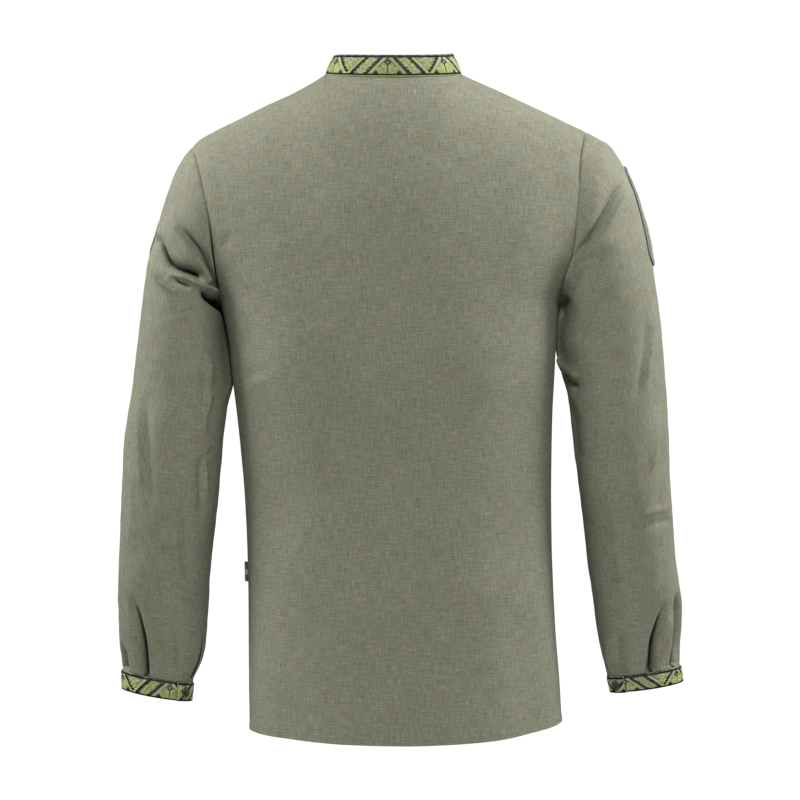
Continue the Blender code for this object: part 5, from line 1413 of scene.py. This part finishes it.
# Placket and front buttons
def placket(columns, points, normals):
    """Strip over the chest slit, with a row of stitches down each side."""
    middle = nearest(columns, 0.0)
    rows = [i for i in range(len(points)) if PLACKET_BOTTOM < points[i, middle, 2] < PLACKET_TOP]
    across = np.concatenate([[1.0, 0.97], np.linspace(0.9, -0.9, 15), [-0.97, -1.0]]) * PLACKET_HALF
    line, out = [], []
    for i in rows:
        xs = points[i, ::-1, 0]
        line.append(at_place(across, xs, points[i, ::-1]))
        out.append(unit(at_place(across, xs, normals[i, ::-1])))
    line, out = np.array(line), np.array(out)
    down, along = lengths(line, 0, 0), lengths(line, 1, 0)
    edge = np.minimum(PLACKET_HALF - np.abs(across)[None, :], down[-1:] - down)
    lift = PLACKET_OUTER - 0.6 * np.exp(-edge / 0.8) - 0.3 * np.exp(-(((edge - PLACKET_SEWN) / 0.8) ** 2))
    outer, inner = line + out * lift[..., None], line + out * PLACKET_INNER
    obj = grid_shell("linen_placket", outer, inner, np.stack([along, -down], axis=-1), LINEN, -1)
    finish_piece(obj, "linen", "placket")
    rows_of_stitches = []
    for number, x in enumerate((PLACKET_HALF - PLACKET_SEWN, -PLACKET_HALF + PLACKET_SEWN), 1):
        path = np.array([at_place(x, p[::-1, 0], p[::-1]) for p in line])
        way = np.array([at_place(x, p[::-1, 0], n[::-1]) for p, n in zip(line, out)])
        name = f"stitches_placket_{number}"
        row = stitch_row(name, path + way * 1.62, unit(way), *SEWING, 0.5, 0.5, OLIVE)
        rows_of_stitches.append(finish_piece(row, "linen"))
    centre = len(across) // 2
    path, way = outer[:, centre], out[:, centre]
    for number, z in enumerate(FRONT_BUTTONS, 1):
        place, facing = (at_place(z, path[::-1, 2], values[::-1]) for values in (path, way))
        button(f"horn_button_front_{number}", place, facing, f"button_front_{number}")
    return obj, rows_of_stitches


# Patches
def patch(side, points, normals):
    """Rounded loop field on the upper sleeve with a sewn rim."""
    where = "left" if side > 0 else "right"
    top, bottom, front_angle, back_top, back_bottom = PATCHES[where]
    axis = np.array([side * PATCH_AXIS[0], 0.0, PATCH_AXIS[1]])
    outer_line = LEFT_OUTER if side > 0 else RIGHT_OUTER
    ends = [float(axis @ (side * read(outer_line, z), 0.0, z)) for z in (top, bottom)]
    length = ends[1] - ends[0]
    heights = points[: SLEEVE_ROWS * 2 // 3] @ axis
    steps = np.concatenate([[0.0, 0.5, 1.2, 2.4, 4.4, 7.0], np.linspace(10.0, length - 10.0, 46)])
    steps = np.concatenate([steps, length - steps[5::-1]])
    shares = np.concatenate([[0.0, 0.008, 0.02, 0.04], np.linspace(0.07, 0.93, 44), [0.96, 0.98, 0.992, 1.0]])
    angles = np.degrees(np.append(sleeve_columns(), 2 * math.pi))
    grid, out = [], []
    for step in steps:
        back_angle = back_top + (back_bottom - back_top) * step / length
        near = min(step, length - step, PATCH_CORNER)
        short = PATCH_CORNER - math.sqrt(max(0.0, PATCH_CORNER**2 - (PATCH_CORNER - near) ** 2))
        trim = math.degrees(short / SLEEVE_RADIUS)
        row, row_out = [], []
        for share in shares:
            angle = front_angle + trim + (back_angle - front_angle - 2 * trim) * share
            col = float(np.interp(angle % 360, angles, np.arange(len(angles))))
            j = int(col)
            v, j, k = col - j, j % SLEEVE_COLUMNS, (j + 1) % SLEEVE_COLUMNS
            reach = heights[:, j] * (1 - v) + heights[:, k] * v
            at = float(np.interp(ends[0] + step, reach, np.arange(len(reach))))
            i = int(at)
            u = at - i
            place, facing = (
                (g[i, j] * (1 - v) + g[i, k] * v) * (1 - u) + (g[i + 1, j] * (1 - v) + g[i + 1, k] * v) * u
                for g in (points, normals)
            )
            row.append(place)
            row_out.append(unit(facing))
        grid.append(row)
        out.append(row_out)
    grid, out = np.array(grid), np.array(out)
    along, down = lengths(grid, 1, 0), lengths(grid, 0, 0)
    edge = np.minimum(np.minimum(along, along[:, -1:] - along), np.minimum(down, down[-1:] - down))
    pile = ripples(grid, *PILE, 31 + side) * ease((edge - 2.4) / 1.0)
    lift = PATCH_OUTER - 0.75 * np.exp(-edge / 0.7) - 0.35 * np.exp(-(((edge - 1.9) / 0.7) ** 2)) + pile
    outer, inner = grid + out * lift[..., None], grid + out * (PATCH_INNER - 0.4)
    obj = grid_shell(f"loop_field_{where}", outer, inner, np.stack([along, -down], axis=-1), LOOPS, side)
    finish_piece(obj, "loop_field", f"patch_{where}")
    inset = 3
    ring = [(inset, j) for j in range(inset, len(shares) - inset)]
    ring += [(i, len(shares) - 1 - inset) for i in range(inset, len(steps) - inset)]
    ring += [(len(steps) - 1 - inset, j) for j in range(len(shares) - 1 - inset, inset - 1, -1)]
    ring += [(i, inset) for i in range(len(steps) - 1 - inset, inset - 1, -1)]
    path = np.array([outer[i, j] + out[i, j] * 0.1 for i, j in ring])
    way = np.array([out[i, j] for i, j in ring])
    row = stitch_row(f"stitches_field_{where}", path, way, 2.6, 2.1, 0.6, 0.6, DARK)
    return obj, finish_piece(row, "loop_field")


# Folded tab
def side_tab():
    z = np.linspace(TAB_TOP, TAB_BOTTOM, 24)
    side = read(TORSO, z)
    steps = np.linspace(0, 1, 20)
    bend = np.radians(np.interp(steps, (0.0, 0.3, 1.0), (25.0, 72.0, 88.0)))
    stride = TAB_LENGTH / (len(steps) - 1)
    x = np.concatenate([[0], np.cumsum(np.cos((bend[1:] + bend[:-1]) / 2))]) * stride
    y = -np.concatenate([[0], np.cumsum(np.sin((bend[1:] + bend[:-1]) / 2))]) * stride
    points = np.array([[(s + 0.2 + dx, dy, h) for dx, dy in zip(x, y)] for s, h in zip(side, z)])
    normals = grid_normals(points, False, 1)
    along, down = lengths(points, 1, 0), lengths(points, 0, 0)
    edge = np.minimum(down, down[-1:] - down)
    end = along[:, -1:] - along
    half = TAB_WALL / 2 * (1 - 0.5 * np.exp(-edge / 0.5)) * (1 - 0.6 * np.exp(-end / 0.5))
    half = half + 0.036 * np.sin(down * 2.2)
    outer, inner = points + normals * half[..., None], points - normals * half[..., None]
    obj = grid_shell("woven_tab_side", outer, inner, np.stack([along, down], axis=-1), TAB)
    return finish_piece(obj, "tab", "label_side")


# The shirt
BUTTON = button_mesh()

back_points, back_normals, back_outer, back_inner, back_weave = torso_panel(1)[1:]
back = finish_piece(grid_shell("linen_back", back_outer, back_inner, back_weave, LINEN), "linen", "back")

front_columns, front_points, front_normals, front_outer, front_inner, front_weave = torso_panel(-1)
front_middle = nearest(front_columns, 0.0)
front_halves = np.where(front_points[:, front_middle, 2] > SLIT_BOTTOM, SLIT_HALF, 0.0)
front_run = lengths(front_points, 1, 0)
front_rows, front_wide = front_outer.shape[0], front_outer.shape[1] + 1
front = shell(
    "linen_front",
    open_column(front_outer, front_run, front_middle, front_halves, front_halves),
    open_column(front_inner, front_run, front_middle, front_halves, front_halves),
    np.insert(front_weave, front_middle, front_weave[:, front_middle], axis=1),
    *slit_faces(front_rows, front_wide, False, -1, front_middle, front_halves), LINEN,
)
finish_piece(front, "linen", "front")

sleeve_left, left_points, left_normals = sleeve(1)
sleeve_right, right_points, right_normals = sleeve(-1)
cuff_left, work_cuff_left = cuff(1)
cuff_right, work_cuff_right = cuff(-1)
collar_band, work_collar = collar()
placket_strip, placket_stitches = placket(front_columns, front_points, front_normals)
patch_left, patch_stitches_left = patch(1, left_points, left_normals)
patch_right, patch_stitches_right = patch(-1, right_points, right_normals)
tab = side_tab()

back_hem = hem_stitches("stitches_hem_back", back_outer, back_normals, -lengths(back_points, 0, -1))
front_hem = hem_stitches("stitches_hem_front", front_outer, front_normals, -lengths(front_points, 0, -1))


def neck_piping():
    """Olive cord sewn along the back neckline under the collar."""
    a = np.radians(np.linspace(*PIPING_TURNS, 150))
    q = NECK_HALF / tip(np.sin(a)) * np.sin(a)
    middle, below = (upper_point(q, rise, 1) for rise in (1.0, 0.985))
    ahead = unit(np.gradient(middle, axis=0))
    up = unit(middle - below)
    out = unit(np.cross(up, ahead))
    if out[75, 1] < 0:
        out = -out
    section = [(math.cos(t), math.sin(t)) for t in np.linspace(0, 2 * math.pi, 9)[:-1]]
    rings = np.array([
        [m + u * (PIPING_HALF_HIGH * cy - 0.1) + o * (PIPING_HALF_THICK * cx + 0.5) for cx, cy in section]
        for m, u, o in zip(middle, up, out)
    ])
    rows, columns = rings.shape[:2]
    quads, _ = grid_faces(rows, columns, True, 1)
    ends = [list(range(columns))[::-1], [(rows - 1) * columns + k for k in range(columns)]]
    obj = thread_mesh("neck_piping", rings.reshape(-1, 3), quads.tolist() + ends, OLIVE)
    return finish_piece(obj, "linen")


piping = neck_piping()


# Studio
def area_light(name, place, target, size, power):
    data = bpy.data.lights.new(name, "AREA")
    data.shape, data.size, data.size_y = "RECTANGLE", size[0], size[1]
    data.energy = power
    obj = linked(name, data)
    obj.location = place
    way = Vector(target) - Vector(place)
    obj.rotation_mode = "QUATERNION"
    obj.rotation_quaternion = way.to_track_quat("-Z", "Y")


for light in (
    # name, place, target, size, power
    ("key", (-0.15, 2.85, 1.7), (0.0, 0.0, -0.3), (0.6, 0.5), 93.0),
    ("side_left", (1.5, -0.1, 0.65), (0.25, 0.0, -0.2), (0.5, 1.0), 40.0),
    ("side_right", (-1.5, -0.1, 0.8), (-0.25, 0.0, -0.15), (0.5, 1.0), 50.0),
):
    area_light(*light)

world = bpy.data.worlds.new("studio")
world.use_nodes = True
sky = world.node_tree
sky_place = sky.nodes.new("ShaderNodeTexCoord").outputs["Generated"]
sky_split = sky.nodes.new("ShaderNodeSeparateXYZ")
sky.links.new(sky_place, sky_split.inputs[0])
sky_fade = sky.nodes.new("ShaderNodeMapRange")
sky_fade.interpolation_type = "SMOOTHSTEP"
for key, value in (("From Min", -0.98), ("From Max", -0.85), ("To Min", 1.05), ("To Max", 0.05)):
    sky_fade.inputs[key].default_value = value
sky.links.new(sky_split.outputs[1], sky_fade.inputs["Value"])
sky.links.new(sky_fade.outputs[0], sky.nodes["Background"].inputs[1])
sky.nodes["Background"].inputs[0].default_value = (1.0, 1.0, 1.0, 1.0)
bpy.context.scene.world = world

FLOOR_RADIUS, FLOOR_Z, FLOOR_CORNERS = 2.6, -1.5, 96
floor_mesh = bpy.data.meshes.new("studio_floor")
floor_turns = [2 * math.pi * i / FLOOR_CORNERS for i in range(FLOOR_CORNERS)]
ring = [(FLOOR_RADIUS * math.cos(a), FLOOR_RADIUS * math.sin(a), FLOOR_Z) for a in floor_turns]
floor_mesh.from_pydata(ring, [], [list(range(FLOOR_CORNERS))])
floor_look = Look("pale_floor")
grain = floor_look.noise(floor_look.object_place(), 14.0, 3.0, 0.5)
floor_tone = floor_look.ramp(grain, ((0.3, (0.80, 0.80, 0.79)), (0.7, (0.84, 0.84, 0.83))))
floor_mesh.materials.append(floor_look.surface(Base_Color=floor_tone, Roughness=0.9, Specular_IOR_Level=0.1))
floor = linked("studio_floor", floor_mesh)

camera_data = bpy.data.cameras.new("camera")
SENSOR, PICTURE = 36.0, 800
camera_data.sensor_width = SENSOR
camera_data.lens = SENSOR * VIEW_DISTANCE / (PICTURE * STEP)
camera_data.clip_end = 50.0
camera = linked("camera", camera_data)
camera.location = (VIEW_X * MM, VIEW_DISTANCE * MM, VIEW_Z * MM)
camera.rotation_euler = (math.radians(90), 0.0, math.radians(180))
bpy.context.scene.camera = camera
bpy.context.scene.view_settings.view_transform = "Standard"
